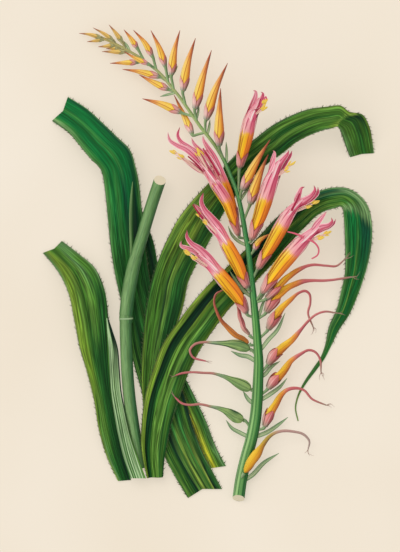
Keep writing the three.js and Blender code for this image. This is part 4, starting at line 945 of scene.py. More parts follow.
# Each bud, bloom, withered bloom or capsule: its root on the stem, then its course. Buds end with
# their width in mm, withered blooms with the radii along them in mm
tip_buds = [
    ([107, 40.3], [[101, 38, 5.6], [90, 34.8, 5.4], [79, 33.5, 4.4]], 3.0),
    ([116, 44.5], [[113, 41, 7.0], [104, 34, 7.2], [93, 28, 7.0]], 3.0),
    ([107, 40.5], [[103, 39.5, 5.2], [95, 41, 4.4], [87, 42, 3.8]], 2.8),
    ([118, 45.5], [[114, 45, 6.0], [106, 46.4, 4.8], [98, 47, 4.0]], 3.0),
    ([125, 49], [[122, 42, 8.2], [115.5, 33, 8.6], [109, 25, 8.6]], 3.4),
    ([122, 48], [[118, 48, 6.0], [112, 48.6, 4.6], [106, 48.9, 4.2]], 2.8),
    ([131, 53], [[125, 52, 7.0], [113.5, 52, 5.4], [102, 51.7, 4.4]], 3.6),
]
buds = [
    ([144, 61], [[137, 48, 9.8], [131, 39, 10.0], [124, 30, 9.8]], 3.9),
    ([157, 71], [[152, 56, 12.4], [144.5, 43, 13.0], [133.5, 30.5, 13.0]], 4.4),
    ([143, 60], [[137, 62.5, 7.6], [124, 63, 6.2], [110, 63.5, 5.2]], 4.0),
    ([154, 68.5], [[148, 64.5, 13.6], [136, 59, 13.4], [124, 52, 12.4]], 3.4),
    ([167, 81], [[159, 77, 10.2], [142, 72.5, 8.8], [122.5, 69.5, 7.2]], 4.8),
    ([168, 83], [[165, 66, 15.6], [159, 48, 17.2], [151, 31, 17.6]], 5.0),
    ([176, 92], [[168, 89.5, 11.6], [154, 83, 10.4], [139, 75, 9.0]], 5.0),
    ([174, 90], [[171.5, 75, 16.8], [174, 53, 18.8], [180, 31, 19.4]], 6.0),
    ([186, 106], [[183, 91, 19.0], [187, 66, 21.0], [195.5, 39, 21.6]], 6.8),
    ([193, 116], [[180, 112.5, 14.6], [163, 105, 13.2], [142.5, 99, 11.4]], 6.0),
    ([197, 122], [[195, 109, 20.4], [202, 80, 22.6], [211.5, 51, 23.2]], 7.0),
    ([206, 133], [[206, 120, 21.6], [214.5, 92, 24.0], [227.5, 64, 24.8]], 7.0),
    ([224, 160], [[219, 146, 23.0], [219, 118, 26.0], [220.5, 89, 27.0]], 7.4),
    ([205, 133], [[192, 134, 16.4], [184, 116, 10.2], [174, 95, 8.6]], 5.0),
    ([239, 203], [[242, 190, 20.4], [255, 164, 22.4], [270, 140, 23.4]], 7.2),
    ([244, 222], [[250, 204, 19.0], [258, 178, 20.4], [268, 155, 21.0]], 7.8),
    ([249, 257], [[254, 250, 17.6], [259, 241, 18.2], [272, 233, 18.8]], 4.4),
]
# Blooms also have the free parts of their three petals, anther places, the tube's girth in mm and
# the share of a petal at which it turns pink
blooms = [
    ([238, 197], [[239.5, 168, 21], [241.5, 157, 24], [244, 146, 27], [247, 133, 31], [251, 117, 36]],
     [[[252.5, 104, 39], [255, 97, 41], [255, 92.5, 42], [252.8, 91.8, 42]],
      [[258.5, 106, 38], [262, 99, 40], [262.5, 94.5, 41], [260.3, 93.2, 41]],
      [[258.5, 108, 35], [261, 102, 36], [261.5, 99, 36.5]]],
     [[263, 109, 42], [264, 104, 41]], 4.9, 0.44),
    ([247, 243], [[251, 240, 19], [254.5, 229, 22], [259.5, 216, 25], [264, 202, 28], [272, 178, 32]],
     [[[270, 166, 35], [273.3, 157, 36.5], [274, 152.5, 37], [272.5, 151.5, 36.5]],
      [[277, 167.5, 36.5], [283, 159.5, 38], [287, 154.5, 38.5], [288.3, 151, 38]],
      [[281, 171, 33], [285.5, 163, 34.5], [290, 156, 35.5], [291.5, 151.5, 35.5]]],
     [[286, 170, 37], [290, 164, 36.5]], 5.6, 0.44),
    ([251.5, 281], [[257.5, 269, 17], [263, 258, 20], [269, 248, 23], [277, 234, 26], [289, 213, 30]],
     [[[294.5, 203, 33], [298, 195, 35], [301, 188.5, 36], [304, 187.5, 35.5]],
      [[297, 205, 33.5], [305, 200.5, 35], [311, 196, 36], [314.3, 190.5, 36], [313.2, 186, 35.5]],
      [[298, 207, 31], [306, 202.5, 32], [313, 198, 33], [317.3, 193, 33], [317.3, 187.5, 33]]],
     [[308, 207, 34.5], [314, 202, 34]], 5.0, 0.48),
    ([253.5, 302], [[261.5, 293, 17], [268, 283, 20], [275, 273, 23], [286, 259, 26],
                    [303, 240.5, 29.5]],
     [[[309.5, 231, 32], [316.5, 223, 33.5], [322.5, 216, 34], [326, 212, 34]],
      [[313, 231.5, 32.5], [321, 227.5, 34], [328, 225.5, 34.5], [331.5, 221.5, 34.5],
       [330.5, 218, 34]],
      [[313, 235, 30], [321, 230, 31], [328.5, 227, 31], [333.5, 223, 31], [335, 219.5, 30.5]]],
     [[320, 238, 33.5], [326, 234, 33]], 5.6, 0.47),
    ([246, 240], [[238.5, 235.5, 20], [235.3, 226, 23], [231.5, 215, 26.5], [226.5, 202, 30],
                  [213, 181, 35]],
     [[[202, 173, 35], [193, 166.5, 36], [186, 161.5, 36.5], [181.5, 158.5, 36.5]],
      [[203.5, 168.5, 37.5], [195, 158.5, 39], [186, 150.5, 40], [176.5, 146, 40.5],
       [169.8, 141, 41], [168, 133, 41]],
      [[207, 165, 37.5], [199.5, 154.5, 39], [189, 147.5, 40], [181, 142, 40.5], [178, 136, 41],
       [180, 128, 41]]],
     [[174, 153, 42], [181, 157.5, 41], [198, 154, 42]], 4.0, 0.4),
    ([243.5, 227], [[236.5, 224.5, 13.6], [234.2, 214.5, 14], [231, 204, 16.4], [227, 193, 19.8],
                    [219.5, 173, 24]],
     [[[208.5, 160, 26.5], [199.5, 151, 28], [194, 144.5, 29], [191.5, 138.5, 29.5]],
      [[213, 158, 27.5], [207.5, 148.5, 29], [203.8, 141.5, 29.5], [202.8, 136.5, 29.5]],
      [[214.5, 161, 24.5], [210, 153, 25.5], [207, 148, 26]]],
     [[197, 158, 30.5], [200, 153, 31]], 3.9, 0.46),
    ([252, 291], [[247.5, 288, 19.5], [243, 278, 21], [237, 264, 24], [225, 242, 28]],
     [[[217.5, 236, 28.5], [211, 229, 29.5], [206.5, 224, 30], [203.5, 220.5, 30]],
      [[219.5, 229, 31], [211.5, 218.5, 32.5], [204.5, 210, 33.5], [201.3, 202, 34],
       [203.3, 193, 34.5]],
      [[217.5, 231, 28], [209, 220.5, 30], [202, 212.5, 31], [194, 204, 32]]],
     [[199, 215, 34], [205, 222, 33.5]], 4.9, 0.48),
    ([255, 318], [[246.5, 313, 17], [241.5, 303, 19.5], [233, 291, 22.5], [216.5, 271, 26.5]],
     [[[207, 266.5, 27], [200, 262, 28], [195.5, 259, 28.5], [191.5, 256.5, 28.5]],
      [[208, 257.5, 29.5], [199.5, 249, 30.5], [191.5, 243.5, 31.5], [187, 237, 32],
       [187, 230.5, 32.5]],
      [[206, 259, 26.5], [196, 251.5, 28], [187.5, 248.5, 29], [181, 245.5, 30],
       [181.5, 241, 30.5]]],
     [[187, 253, 31.5], [194, 258.5, 31.5]], 5.1, 0.48),
]
withered = [
    ([254, 303], [[266.5, 298, 16], [276, 289, 17], [288, 276.5, 17.6], [300, 269, 18], [312, 265, 17.5],
                  [325, 265.5, 17], [336, 266, 16], [345, 259, 16]],
     [1.5, 2.3, 2.6, 2.4, 1.9, 1.3, 1.0, 0.9, 0.8, 0.5]),
    ([256, 320], [[266, 312, 12.5], [272, 302, 12.6], [279, 294, 12.6], [290, 286, 13],
                  [302, 281.5, 13], [325, 280.5, 12], [338, 279, 11.6], [352, 277, 11]],
     [1.7, 3.9, 3.8, 2.5, 2.3, 1.4, 1.1, 1.0, 0.9, 0.5]),
    ([257.5, 340], [[268, 329, 12.5], [273, 320, 13.2], [281, 309, 13.6], [290, 300, 13.8],
                    [298, 293, 13.6], [305, 291, 13], [309, 294, 12.2], [310, 303, 10.4],
                    [308, 313, 8.4], [313, 327, 6.8]],
     [1.6, 3.6, 3.2, 2.4, 1.7, 1.1, 1.0, 0.9, 0.9, 0.8, 0.5]),
    ([258.5, 376], [[268, 364, 11.2], [274, 355, 12], [283, 347, 12.6], [291, 341, 13],
                    [300, 330, 13.4], [308, 321, 13.2], [316, 314.5, 12.4], [325, 311.5, 11.4],
                    [337, 313, 9.6]],
     [1.6, 3.6, 3.3, 2.7, 1.9, 1.2, 1.0, 0.9, 0.8, 0.5]),
    ([257.5, 398], [[268, 388, 10.4], [274, 380, 11], [283, 371, 11.4], [292, 360, 11.8],
                    [300, 354, 11.8], [308, 350, 11.4], [315, 352, 10.4], [320, 360, 8.4],
                    [321, 372, 6.6]],
     [1.6, 3.6, 3.2, 2.7, 1.9, 1.3, 1.0, 0.9, 0.8, 0.5]),
    ([254, 432], [[264.5, 426, 9.2], [268.5, 416, 9.8], [275, 404, 10], [282, 394, 10],
                  [289, 389, 9.8], [297, 388, 9.2], [304, 390, 8.4], [312, 399, 7], [326, 405, 5.6]],
     [1.5, 3.4, 3.1, 2.6, 1.8, 1.3, 1.0, 0.9, 0.8, 0.5]),
    ([243, 480], [[244, 473, 12.4], [250, 464, 13.4], [257, 453, 13], [263, 443.5, 12],
                  [271, 435, 11.2], [281, 431, 10.2], [292, 431, 9.2], [303, 434, 8], [309, 441, 7],
                  [308, 449, 6]],
     [1.6, 3.6, 3.7, 2.2, 1.5, 1.2, 1.1, 1.0, 0.9, 0.5]),
    ([257.5, 346], [[249, 343.5, 14], [243, 338.5, 14.4], [237, 335.5, 14.6], [230, 330, 14.8],
                    [222, 321.5, 14.8], [217, 312, 14.6], [214, 302, 14.6], [216, 294, 14.6],
                    [223, 290, 14.8]],
     [1.2, 1.9, 2.2, 1.9, 1.4, 1.1, 0.9, 0.8, 0.5]),
    ([257, 340], [[249.5, 335, 12], [244, 328, 11.4], [240.5, 318, 11], [237.5, 306, 11]],
     [1.2, 1.9, 2.0, 1.6, 0.7]),
]
capsules = [
    ([258, 358], [[250, 349.5, 12.4], [241, 346, 12.8], [231, 344, 13.4], [222, 343.2, 13.8],
                  [213, 342.6, 14.2], [204, 342, 14.4], [195, 344, 14.6], [190, 350, 14.4],
                  [193, 357, 14], [206, 361, 13.6]]),
    ([257.5, 399], [[251, 389.5, 10.6], [242, 385, 11.4], [232, 380, 12.2], [223, 376, 12.8],
                    [213, 373.2, 13.4], [203, 372.6, 13.8], [192, 372, 14], [182, 373, 14],
                    [176, 375, 13.8]]),
    ([254, 430], [[243.5, 420, 8.8], [236, 417, 9.8], [227, 411.5, 10.8], [219, 408.2, 11.6],
                  [210, 406, 12.2], [200, 404, 12.8], [190, 404.6, 13.2], [182, 403, 13.4],
                  [175, 397, 13.4]]),
]
bracts = [
    ([[257, 362, 12], [248, 356.5, 11], [240, 355, 10.4], [231, 351, 10.4]], 3.4),
    ([[256, 405, 9], [249, 400, 9], [243, 391, 9]], 3.0),
    ([[251, 438, 7], [240, 432.5, 6], [232, 428, 5.6], [226, 420, 5.6]], 3.0),
    ([[259, 352, 12], [268, 340, 10.4], [277, 330, 10], [285, 313, 10]], 3.0),
    ([[257, 402, 9], [270, 394, 7.6], [280, 386.5, 7], [287, 378, 7]], 3.2),
    ([[252, 438, 7], [268, 431.5, 6], [279, 424, 5.6], [288, 417, 5.6]], 3.2),
    ([[259, 378, 10.2], [265, 374, 8.4], [271, 367, 8], [280, 361, 7.6]], 3.0),
    ([[247.5, 246, 15.6], [238, 241, 14.4], [232, 235, 14], [228, 226, 14]], 2.4),
    ([[253, 298, 14], [243, 290, 13], [236, 281, 12.6], [229, 270, 12.6]], 2.8),
    ([[241, 482, 5], [252, 475, 5.4], [264, 462.5, 5.2], [279, 453, 5]], 3.4),
    ([[254, 305, 14], [260, 298, 12.6], [266, 290, 12], [271, 283, 12]], 2.6),
    ([[256, 322, 13.2], [260, 312, 11.4], [263, 303, 10.8], [268, 296, 10.4]], 2.4),
    ([[239, 203, 17.2], [243, 196, 16.2], [248, 189, 15.8], [256, 181, 15.8]], 2.2),
    ([[226, 165, 18.6], [226.5, 158, 17.4], [226.5, 150, 17], [226, 142, 17]], 2.0),
    ([[207, 136, 18.6], [209, 128, 17.4], [210, 120, 17]], 2.0),
    ([[196, 121, 17.8], [198, 113, 16.8], [199, 105, 16.4]], 1.9),
    ([[176, 93, 14.4], [168, 95, 14.2], [160, 97, 14]], 1.9),
    ([[165, 79, 12.6], [173, 74, 12], [178, 66, 12]], 1.9),
    ([[130, 52, 8.2], [127, 46, 7.6], [121.5, 40, 7.4]], 1.9),
]


def dot(first, second):
    return np.sum(first * second, axis=-1, keepdims=True)


def rounded(share):
    """Rounds the foot of a swollen tube."""
    return np.sqrt(np.clip(share / ROUNDED_SHARE, 0.1, 1))


def wrap(shape, middle, normal, bend, half, thick, columns=11, lean=0.0, kind=0, offset=0.0, reach=None,
         ripple=0.0):
    """A petal, sepal or bract: its middle line, the way its back faces, its bending radius and
    half angle. A lean lifts one edge, so that its neighbour tucks under it. Ripples run along it."""
    rows = len(middle)
    bend, half, lean = (np.broadcast_to(part, rows)[:, None] for part in (bend, half, lean))
    along = unit(np.gradient(middle, axis=0))
    normal = unit(normal - along * dot(normal, along))
    aside = np.cross(along, normal)
    share = np.linspace(0, 1, columns)
    turn = (2 * share - 1) * half
    face = normal[:, None] * np.cos(turn)[..., None] + aside[:, None] * np.sin(turn)[..., None]
    ribbed = ripple * np.cos(6 * math.pi * share)
    surface = (middle[:, None] - (normal * bend)[:, None]
               + face * (bend + lean * (share - 0.5) + ribbed)[..., None])
    skin = (thick / 2 * (1 - 0.7 * np.abs(2 * share - 1) ** 6))[None, :, None]
    sections = np.concatenate([surface + face * skin, (surface - face * skin)[:, ::-1]], axis=1)
    distance = np.concatenate([[0], np.cumsum(np.linalg.norm(np.diff(middle, axis=0), axis=1))])
    up_to = distance / distance[-1] if reach is None else reach
    there_and_back = np.concatenate([share, share[::-1]])
    sides = np.concatenate([face @ SHADE_SIDE, (face @ SHADE_SIDE)[:, ::-1]], axis=1)
    layer = np.concatenate([np.full(columns, 3.0), np.full(columns, -3.0)])
    width = float((2 * bend * half).max()) / MM
    grid = np.ones((rows, 2 * columns))
    spots = np.stack([grid * there_and_back, grid * up_to[:, None], sides], axis=-1)
    flows = np.stack([grid * there_and_back * width, grid * layer + offset,
                      grid * distance[:, None] / MM + offset], axis=-1)
    shape.loft(sections, spots, flows, kind=kind, flat=True)


def furled(shape, course, radii, ends, half, thick, first=0.0, twist=0.0, rows=30, kind=0,
           lean=0.5 * MM, columns=9, narrow=None):
    """Petals or sepals that wrap one another round an axis. Radii takes the share along it."""
    share = np.linspace(*ends, rows)
    centre = course.reach(share)
    along, side, top = axes(centre)
    radius = radii(share)
    part = (share - ends[0]) / (ends[1] - ends[0])
    halves = half * (np.ones(rows) if narrow is None else spread(narrow, part))
    for k in range(PETAL_COUNT):
        angle = (first + k * 2 * math.pi / PETAL_COUNT + twist * part)[:, None]
        normal = top * np.cos(angle) + side * np.sin(angle)
        wrap(shape, centre + normal * radius[:, None], normal, radius, halves, thick, columns,
             lean * np.minimum(1, radius / (1.2 * MM)), kind, offset=17.0 * k)


def petioled(shape, root, base, following, kind):
    """A pedicel from the nearest point inside the stem, in line with what it carries."""
    start = stem_points[np.argmin(np.linalg.norm(stem_points[:, :2] - place([*root, 0])[:2], axis=1))]
    inward = unit(base - following)
    end = base + inward * SEAT_GAP
    neck = end + inward * min(NECK, np.linalg.norm(start - end) / 3)
    line = Course([start, start * 0.5 + neck * 0.5 - [0, 0, PEDICEL_SAG], neck, end])
    tube(shape, line, lambda share, angle: PEDICEL_RADIUS * (0.9 + 0.55 * share**6), (14, 12), kind=kind)


def small_bud(shape, course, width, kind, sepal_kind, rows=26):
    """Three petals furled into a long point, and three short sepals round their foot."""
    def radii(share):
        return width / 2 * spread(BUD_RADII, share) * MM

    furled(shape, course, radii, (0.0, 1.0), 1.25, 0.16 * MM, first=0.5, twist=0.7, rows=rows, kind=kind,
           lean=0.22 * MM, columns=9)
    furled(shape, course, lambda share: radii(share) + 0.3 * MM, (0.0, 0.27), 1.15, 0.22 * MM,
           first=math.pi / 3, rows=14, kind=sepal_kind, lean=0.25 * MM, columns=9,
           narrow=[1, 1, 0.85, 0.5, 0.03])


# The stem, pedicel, tip bud and tip sepal skins go round each piece from the lit side to painted shade.
STEM_SKIN = painted("stem skin", [
    (0.06, [(0, (112, 158, 104)), (0.3, (160, 198, 128)), (0.44, (96, 150, 82)),
            (0.6, (112, 162, 92)), (0.74, (62, 120, 60)), (1, (44, 96, 52))]),
    (0.3, [(0, (66, 118, 66)), (0.1, (118, 166, 102)), (0.3, (128, 176, 100)),
           (0.44, (78, 138, 66)), (0.6, (96, 154, 78)), (0.74, (50, 112, 52)),
           (1, (36, 86, 44))]),
    (0.46, [(0, (96, 162, 104)), (0.3, (110, 178, 112)), (0.5, (80, 158, 92)),
            (0.7, (54, 128, 72)), (1, (40, 102, 58))]),
    (0.62, [(0, (120, 176, 116)), (0.35, (112, 172, 104)), (0.7, (78, 138, 84)),
            (1, (58, 112, 68))]),
    (0.7, [(0, (182, 202, 142)), (0.4, (168, 192, 122)), (0.7, (130, 158, 94)),
            (1, (98, 126, 78))]),
    (0.88, [(0, (190, 192, 138)), (0.5, (164, 168, 112)), (1, (122, 128, 88))]),
    (1.0, [(0, (210, 192, 124)), (0.5, (188, 166, 98)), (1, (142, 126, 80))]),
], by="side", contrast=0.5, spacing=0.6, length=35, lines=[((26, 80, 42), 9, 0.3, 0.78, -1, 0.84)])
BRACT_SKIN = painted("bract skin", [
    (0.1, [(0, (76, 118, 80)), (0.2, (164, 188, 136)), (0.48, (210, 216, 172)),
           (0.56, (120, 152, 112)), (0.7, (190, 204, 154)), (1, (76, 118, 80))]),
    (0.95, [(0, (80, 120, 82)), (0.25, (154, 178, 130)), (0.6, (128, 158, 112)),
            (1, (72, 112, 80))]),
], contrast=0.2, spacing=0.4)
PEDICEL_SKIN = painted("pedicel skin", [
    (0.2, [(0, (176, 198, 144)), (0.5, (140, 170, 116)), (1, (90, 124, 86))]),
    (0.9, [(0, (168, 186, 140)), (0.5, (130, 156, 110)), (1, (84, 112, 82))]),
], by="side", contrast=0.3, spacing=0.4)
TIP_BUD_SKIN = painted("tip bud skin", [
    (0.1, [(0, (232, 206, 126)), (0.5, (216, 182, 98)), (1, (172, 146, 92))]),
    (0.55, [(0, (236, 206, 122)), (0.5, (220, 174, 92)), (1, (176, 128, 84))]),
    (0.85, [(0, (190, 124, 92)), (1, (120, 76, 66))]),
], by="side", contrast=0.3, spacing=0.4, rim=((150, 112, 62), 0.1, 0.7))
TIP_SEPAL_SKIN = painted("tip sepal skin", [
    (0.0, [(0, (206, 196, 140)), (0.5, (180, 176, 124)), (1, (138, 146, 108))]),
    (0.8, [(0, (196, 180, 120)), (1, (140, 140, 100))]),
], by="side", contrast=0.3, spacing=0.4, rim=((110, 110, 80), 0.1, 0.7))

stem_line = Course(place(stem_course))
stem_points = stem_line.reach(np.linspace(0, 1, 241))
stem_shape = Shape()
tube(stem_shape, stem_line,
     lambda share, angle: spread(stem_radii, share) * MM * (1 + 0.02 * np.cos(9 * angle)), (420, 36),
     cap_kind=1, slant=(2.6 * MM, 0))
for root, course, *_ in [*buds, *blooms, *withered, *capsules]:
    base, following = place(course[:2])
    petioled(stem_shape, root, base, following, 2)
for root, course, width in tip_buds:
    line = Course(place(course))
    petioled(stem_shape, root, line.points[0], line.points[1], 5)
    small_bud(stem_shape, line, width, 4, 5)
for course, width in bracts:
    line = Course(place(course)).reach(np.linspace(0, 1, 22))
    widths = spread(BRACT_TAPER, np.linspace(0, 1, 22)) * width * MM
    bends = np.full(22, width * 0.62 * MM)
    wrap(stem_shape, line, np.tile([0.0, 0.0, -1.0], (22, 1)), bends, widths / (2 * bends), 0.4 * MM, 9,
         kind=3)
stem_shape.build("flowering_stem_skin", [
    STEM_SKIN, bpy.data.materials["stalk cut face"], PEDICEL_SKIN, BRACT_SKIN, TIP_BUD_SKIN,
    TIP_SEPAL_SKIN], ["flowering_stem"])

# Closed buds: three petals furled into a long point, yellow to orange with a dark tip, and
# three short pink sepals round the foot.
# Round each bud and sepal the colour goes from the lit side to painted shade: the buds from yellow to
# orange-brown, the sepals from pale pink to dark pink, grey-green at their foot.
BUD_SKIN = painted("bud skin", [
    (0.2, [(0, (242, 214, 130)), (0.25, (250, 220, 106)), (0.5, (246, 202, 74)),
           (0.68, (234, 172, 60)), (0.84, (212, 134, 54)), (1, (180, 98, 50))]),
    (0.5, [(0, (246, 216, 136)), (0.3, (246, 204, 102)), (0.6, (234, 174, 74)),
           (0.8, (208, 130, 58)), (1, (170, 90, 52))]),
    (0.7, [(0, (238, 186, 116)), (0.4, (222, 146, 80)), (0.7, (192, 108, 64)),
           (1, (146, 74, 54))]),
    (0.88, [(0, (206, 126, 92)), (0.4, (164, 84, 64)), (1, (108, 54, 48))]),
], by="side", contrast=0.35, spacing=0.5, length=20, jag=0.1, rim=((176, 84, 40), 0.07, 0.75),
    lines=[((200, 110, 40), 1, 0.06, 0.5, 0.1, 2)])
SEPAL_SKIN = painted("sepal skin", [
    (0.0, [(0, (182, 178, 152)), (0.35, (206, 170, 154)), (0.6, (158, 136, 122)),
           (0.8, (116, 120, 104)), (1, (84, 96, 84))]),
    (0.35, [(0, (246, 206, 196)), (0.4, (238, 166, 156)), (0.65, (210, 124, 118)),
            (0.82, (150, 92, 88)), (1, (112, 66, 70))]),
    (0.95, [(0, (236, 150, 142)), (0.6, (212, 104, 102)), (1, (140, 62, 68))]),
], by="side", contrast=0.4, spacing=0.6, length=12, rim=((140, 48, 56), 0.07, 0.9),
    lines=[((250, 218, 208), 2, 0.2, 0.45, 0.1, 2)])
BUD_SEPAL_SKIN = painted("bud sepal skin", [
    (0.0, [(0, (178, 180, 162)), (0.4, (170, 170, 152)), (0.7, (126, 136, 116)),
           (1, (88, 104, 88))]),
    (0.35, [(0, (246, 216, 206)), (0.4, (238, 186, 176)), (0.65, (208, 144, 138)),
            (0.82, (150, 108, 100)), (1, (112, 78, 76))]),
    (0.95, [(0, (240, 172, 162)), (0.6, (222, 128, 122)), (1, (150, 76, 78))]),
], by="side", contrast=0.4, spacing=0.6, length=12, rim=((150, 58, 64), 0.07, 0.9))
for k, (root, course, width) in enumerate(buds, start=1):
    bud_shape = Shape()
    small_bud(bud_shape, Course(place(course)), width, 0, 1, rows=44)
    bud_shape.build(f"bud_{k:02d}_petals", [BUD_SKIN, BUD_SEPAL_SKIN], [f"bud_{k:02d}"])

# Open blooms: a calyx of three overlapping sepals, and three long petals that wrap into a tube,
# yellow then pink, and part at the mouth round six stamens.
CALYX_SHARE = 0.32
TUBE_START = 0.045
LEAST_TUBE_RADIUS = 1.2 * MM
CUP_FOOT_SHARE = 0.05
CUP_FOOT_RADIUS = 1.3 * MM
CUP_GAP = 0.9 * MM
SEPAL_THICKNESS = 0.4 * MM
PETAL_THICKNESS = 0.3 * MM
PETAL_LEAN = 0.7 * MM
COROLLA_RADII = [0.36, 0.62, 0.8, 0.92, 1.0, 1.0, 0.92]
SEATS = (0.0, 2 * math.pi / 3, -2 * math.pi / 3)
TURNING_STEP = 0.03
TUBE_ROWS = 40
PETAL_ROWS = 76
HELD_HALF = [1.25, 1.28, 1.3, 1.3, 1.28, 1.22, 1.16, 1.1]
FREE_HALF = [1.1, 1.08, 1.04, 0.98, 0.88, 0.72, 0.5, 0.12]
FREE_BEND = 3.0 * MM
FREE_TILT = 0.6
FREE_EASE = 1.4
TIP_CLOSING = 0.04
TURNING_PAINT = 0.47
PETAL_RIPPLE = 0.2 * MM
CORE_RADII = [0.4, 0.58, 0.8, 0.84, 0.72, 0.48, 0.18]
STRAND_RADII = (0.85, 0.5)
FILAMENTS_A_PLACE = 5
FILAMENT_RADIUS = 0.28 * MM
FILAMENT_RISE = 0.6 * MM
ANTHER_SPREAD = 1.05 * MM
ANTHER_SPREAD_SHAPE = [1, 1, 0.4]
ANTHER_DROP = 0.4 * MM
ANTHER_LENGTH = 5.0 * MM
ANTHER_RADIUS = 0.8 * MM
ANTHER_OVERLAP = 2.2 * MM
ANTHER_TILT = 0.15
# Styles and loose strands of some blooms: the bloom, its material, then the course
strands = [
    (1, 2, [[258, 112, 39], [262, 103, 40.6], [265.4, 98, 41], [266.2, 100.6, 41]]),
    (4, 2, [[303, 240, 32], [308, 240, 33], [314, 243, 33], [318, 249, 32.4], [317, 255, 32],
            [311, 259, 32]]),
    (4, 2, [[303, 238, 33.4], [300, 236, 34], [293, 233.4, 34], [287, 232, 33.6]]),
    (5, 3, [[219, 176, 37.4], [214, 167, 38.6], [208, 157, 39.2], [203, 149, 39.4]]),
    (5, 3, [[204, 172, 39.4], [196, 164, 40.2], [188, 157, 40.4]]),
    (7, 3, [[203, 219, 34.2], [197, 211, 35], [193, 205, 35.2]]),
    (3, 3, [[291, 211, 34.6], [295, 203, 35.6], [299, 194, 36.4]]),
]
# Round each petal the colour goes from the lit side to painted shade: yellow to orange, and pink to
# crimson, partly the petals' own colour and partly painted shade. Its pale pink bands are painted
# highlights, and the tip rim paints a highlight along the pink margins.
COROLLA_SKIN = painted("corolla skin", [
    (0.4, [(0, (234, 198, 90)), (0.2, (250, 214, 72)), (0.45, (248, 194, 40)),
           (0.6, (244, 168, 40)), (0.74, (236, 138, 42)), (1, (204, 100, 46))]),
    (0.455, [(0, (244, 206, 110)), (0.3, (250, 210, 84)), (0.55, (246, 180, 52)),
             (0.75, (234, 140, 56)), (1, (206, 98, 58))]),
    (0.485, [(0, (244, 190, 184)), (0.25, (250, 200, 192)), (0.5, (238, 162, 164)),
             (0.75, (222, 122, 132)), (1, (196, 80, 98))]),
    (0.66, [(0, (220, 112, 134)), (0.18, (246, 186, 192)), (0.34, (226, 114, 138)),
            (0.5, (244, 174, 184)), (0.7, (220, 106, 130)), (1, (182, 58, 90))]),
    (1.0, [(0, (208, 88, 112)), (0.3, (246, 184, 192)), (0.55, (226, 116, 138)),
           (1, (180, 58, 88))]),
], by="side", jag=0.08, contrast=0.4, spacing=0.5, length=22, rim=((190, 88, 36), 0.07, 0.9),
    tip_rim=((254, 226, 222), 0.5),
    lines=[((178, 80, 32), 3, 0.2, 0.8, 0.0, 0.44), ((164, 34, 70), 3, 0.28, 0.8, 0.5, 2)])
FILAMENT = plain("filament", (236, 196, 178))
STRAND = plain("loose strand", (214, 96, 116))
CRIMSON = plain("crimson strand", (170, 30, 66))


def seated(leans):
    """A seat round the tube for each petal, one on top, as near as may be to the way it leans."""
    return max(itertools.permutations(SEATS),
               key=lambda seats: sum(math.cos(seat - lean) for seat, lean in zip(seats, leans)))


def open_petals(shape, line, petals, girth, turning):
    """Petals that hold together as a tube, then run free along courses of their own."""
    rows = np.arange(TUBE_ROWS)
    tube_share = np.linspace(TUBE_START, 1, TUBE_ROWS)
    centre = line.reach(tube_share)
    along, side, top = axes(centre)
    radius = spread(COROLLA_RADII, (tube_share - TUBE_START) / (1 - TUBE_START)) * girth * MM
    away = place([free[0] for free in petals]) - centre[-1]
    away = unit(away - dot(away, along[-1]) * along[-1])
    for k, seat in enumerate(seated(np.arctan2(away @ side[-1], away @ top[-1]))):
        normal = top * math.cos(seat) + side * math.sin(seat)
        points = np.vstack([(centre + normal * radius[:, None])[:-3:3], place(petals[k])])
        petal_line = Course(points)
        t = np.linspace(0, 1, PETAL_ROWS)
        free_length = np.linalg.norm(np.diff(points[-len(petals[k]) - 1:], axis=0), axis=1).sum()
        tube_part = 1 - free_length / petal_line.length
        held = np.interp(t, np.linspace(0, tube_part, TUBE_ROWS), rows)
        facing = np.column_stack([np.interp(held, rows, part) for part in normal.T])
        loose = np.clip((t - tube_part) / (1 - tube_part), 0, 1)
        turned = unit(away[k] * FREE_TILT + [0, 0, -1.0 if away[k][2] < 0 else 1.0])
        eased = np.minimum(1, loose * FREE_EASE)
        facing = facing + (turned - facing) * eased[:, None]
        bend = np.interp(held, rows, radius)
        bend = bend + (FREE_BEND - bend) * eased
        half = np.where(t < tube_part, spread(HELD_HALF, t / tube_part), spread(FREE_HALF, loose))
        bend = bend * np.sqrt(np.clip((1 - t) / TIP_CLOSING, 0.05, 1))
        reach = np.interp(t, [0, turning + (k - 1) * TURNING_STEP, 1], [0, TURNING_PAINT, 1])
        wrap(shape, petal_line.reach(t), facing, bend, half, PETAL_THICKNESS, 19,
             lean=PETAL_LEAN * (1 - loose), offset=23.0 * k, reach=reach, ripple=PETAL_RIPPLE)


def throat_core(shape, line, petals, girth):
    """The folded inner edges of the petals, which close the mouth."""
    onward = [np.mean(place([free[stop] for free in petals]), axis=0) for stop in (0, 1)]
    core = Course([*line.reach(np.array([0.5, 0.75, 1.0])), *onward])
    tube(shape, core, lambda share, angle: spread(CORE_RADII, share) * girth * MM
         * (1 + 0.12 * np.cos(5 * angle)), (40, 30))


def tube_radii(share, girth):
    """Radii of the petal tube under the calyx, down to its slender foot."""
    part = (share - TUBE_START) / (1 - TUBE_START)
    return np.maximum(spread(COROLLA_RADII, part) * girth * MM, LEAST_TUBE_RADIUS)


def cup_radii(share, girth):
    """Radii of the calyx, which widens from its foot until it stands off the petal tube."""
    full = tube_radii(np.array([CUP_FOOT_SHARE]), girth)[0] + CUP_GAP
    foot = np.interp(share, [0, CUP_FOOT_SHARE], [CUP_FOOT_RADIUS, full])
    return np.where(share < CUP_FOOT_SHARE, foot, tube_radii(share, girth) + CUP_GAP)


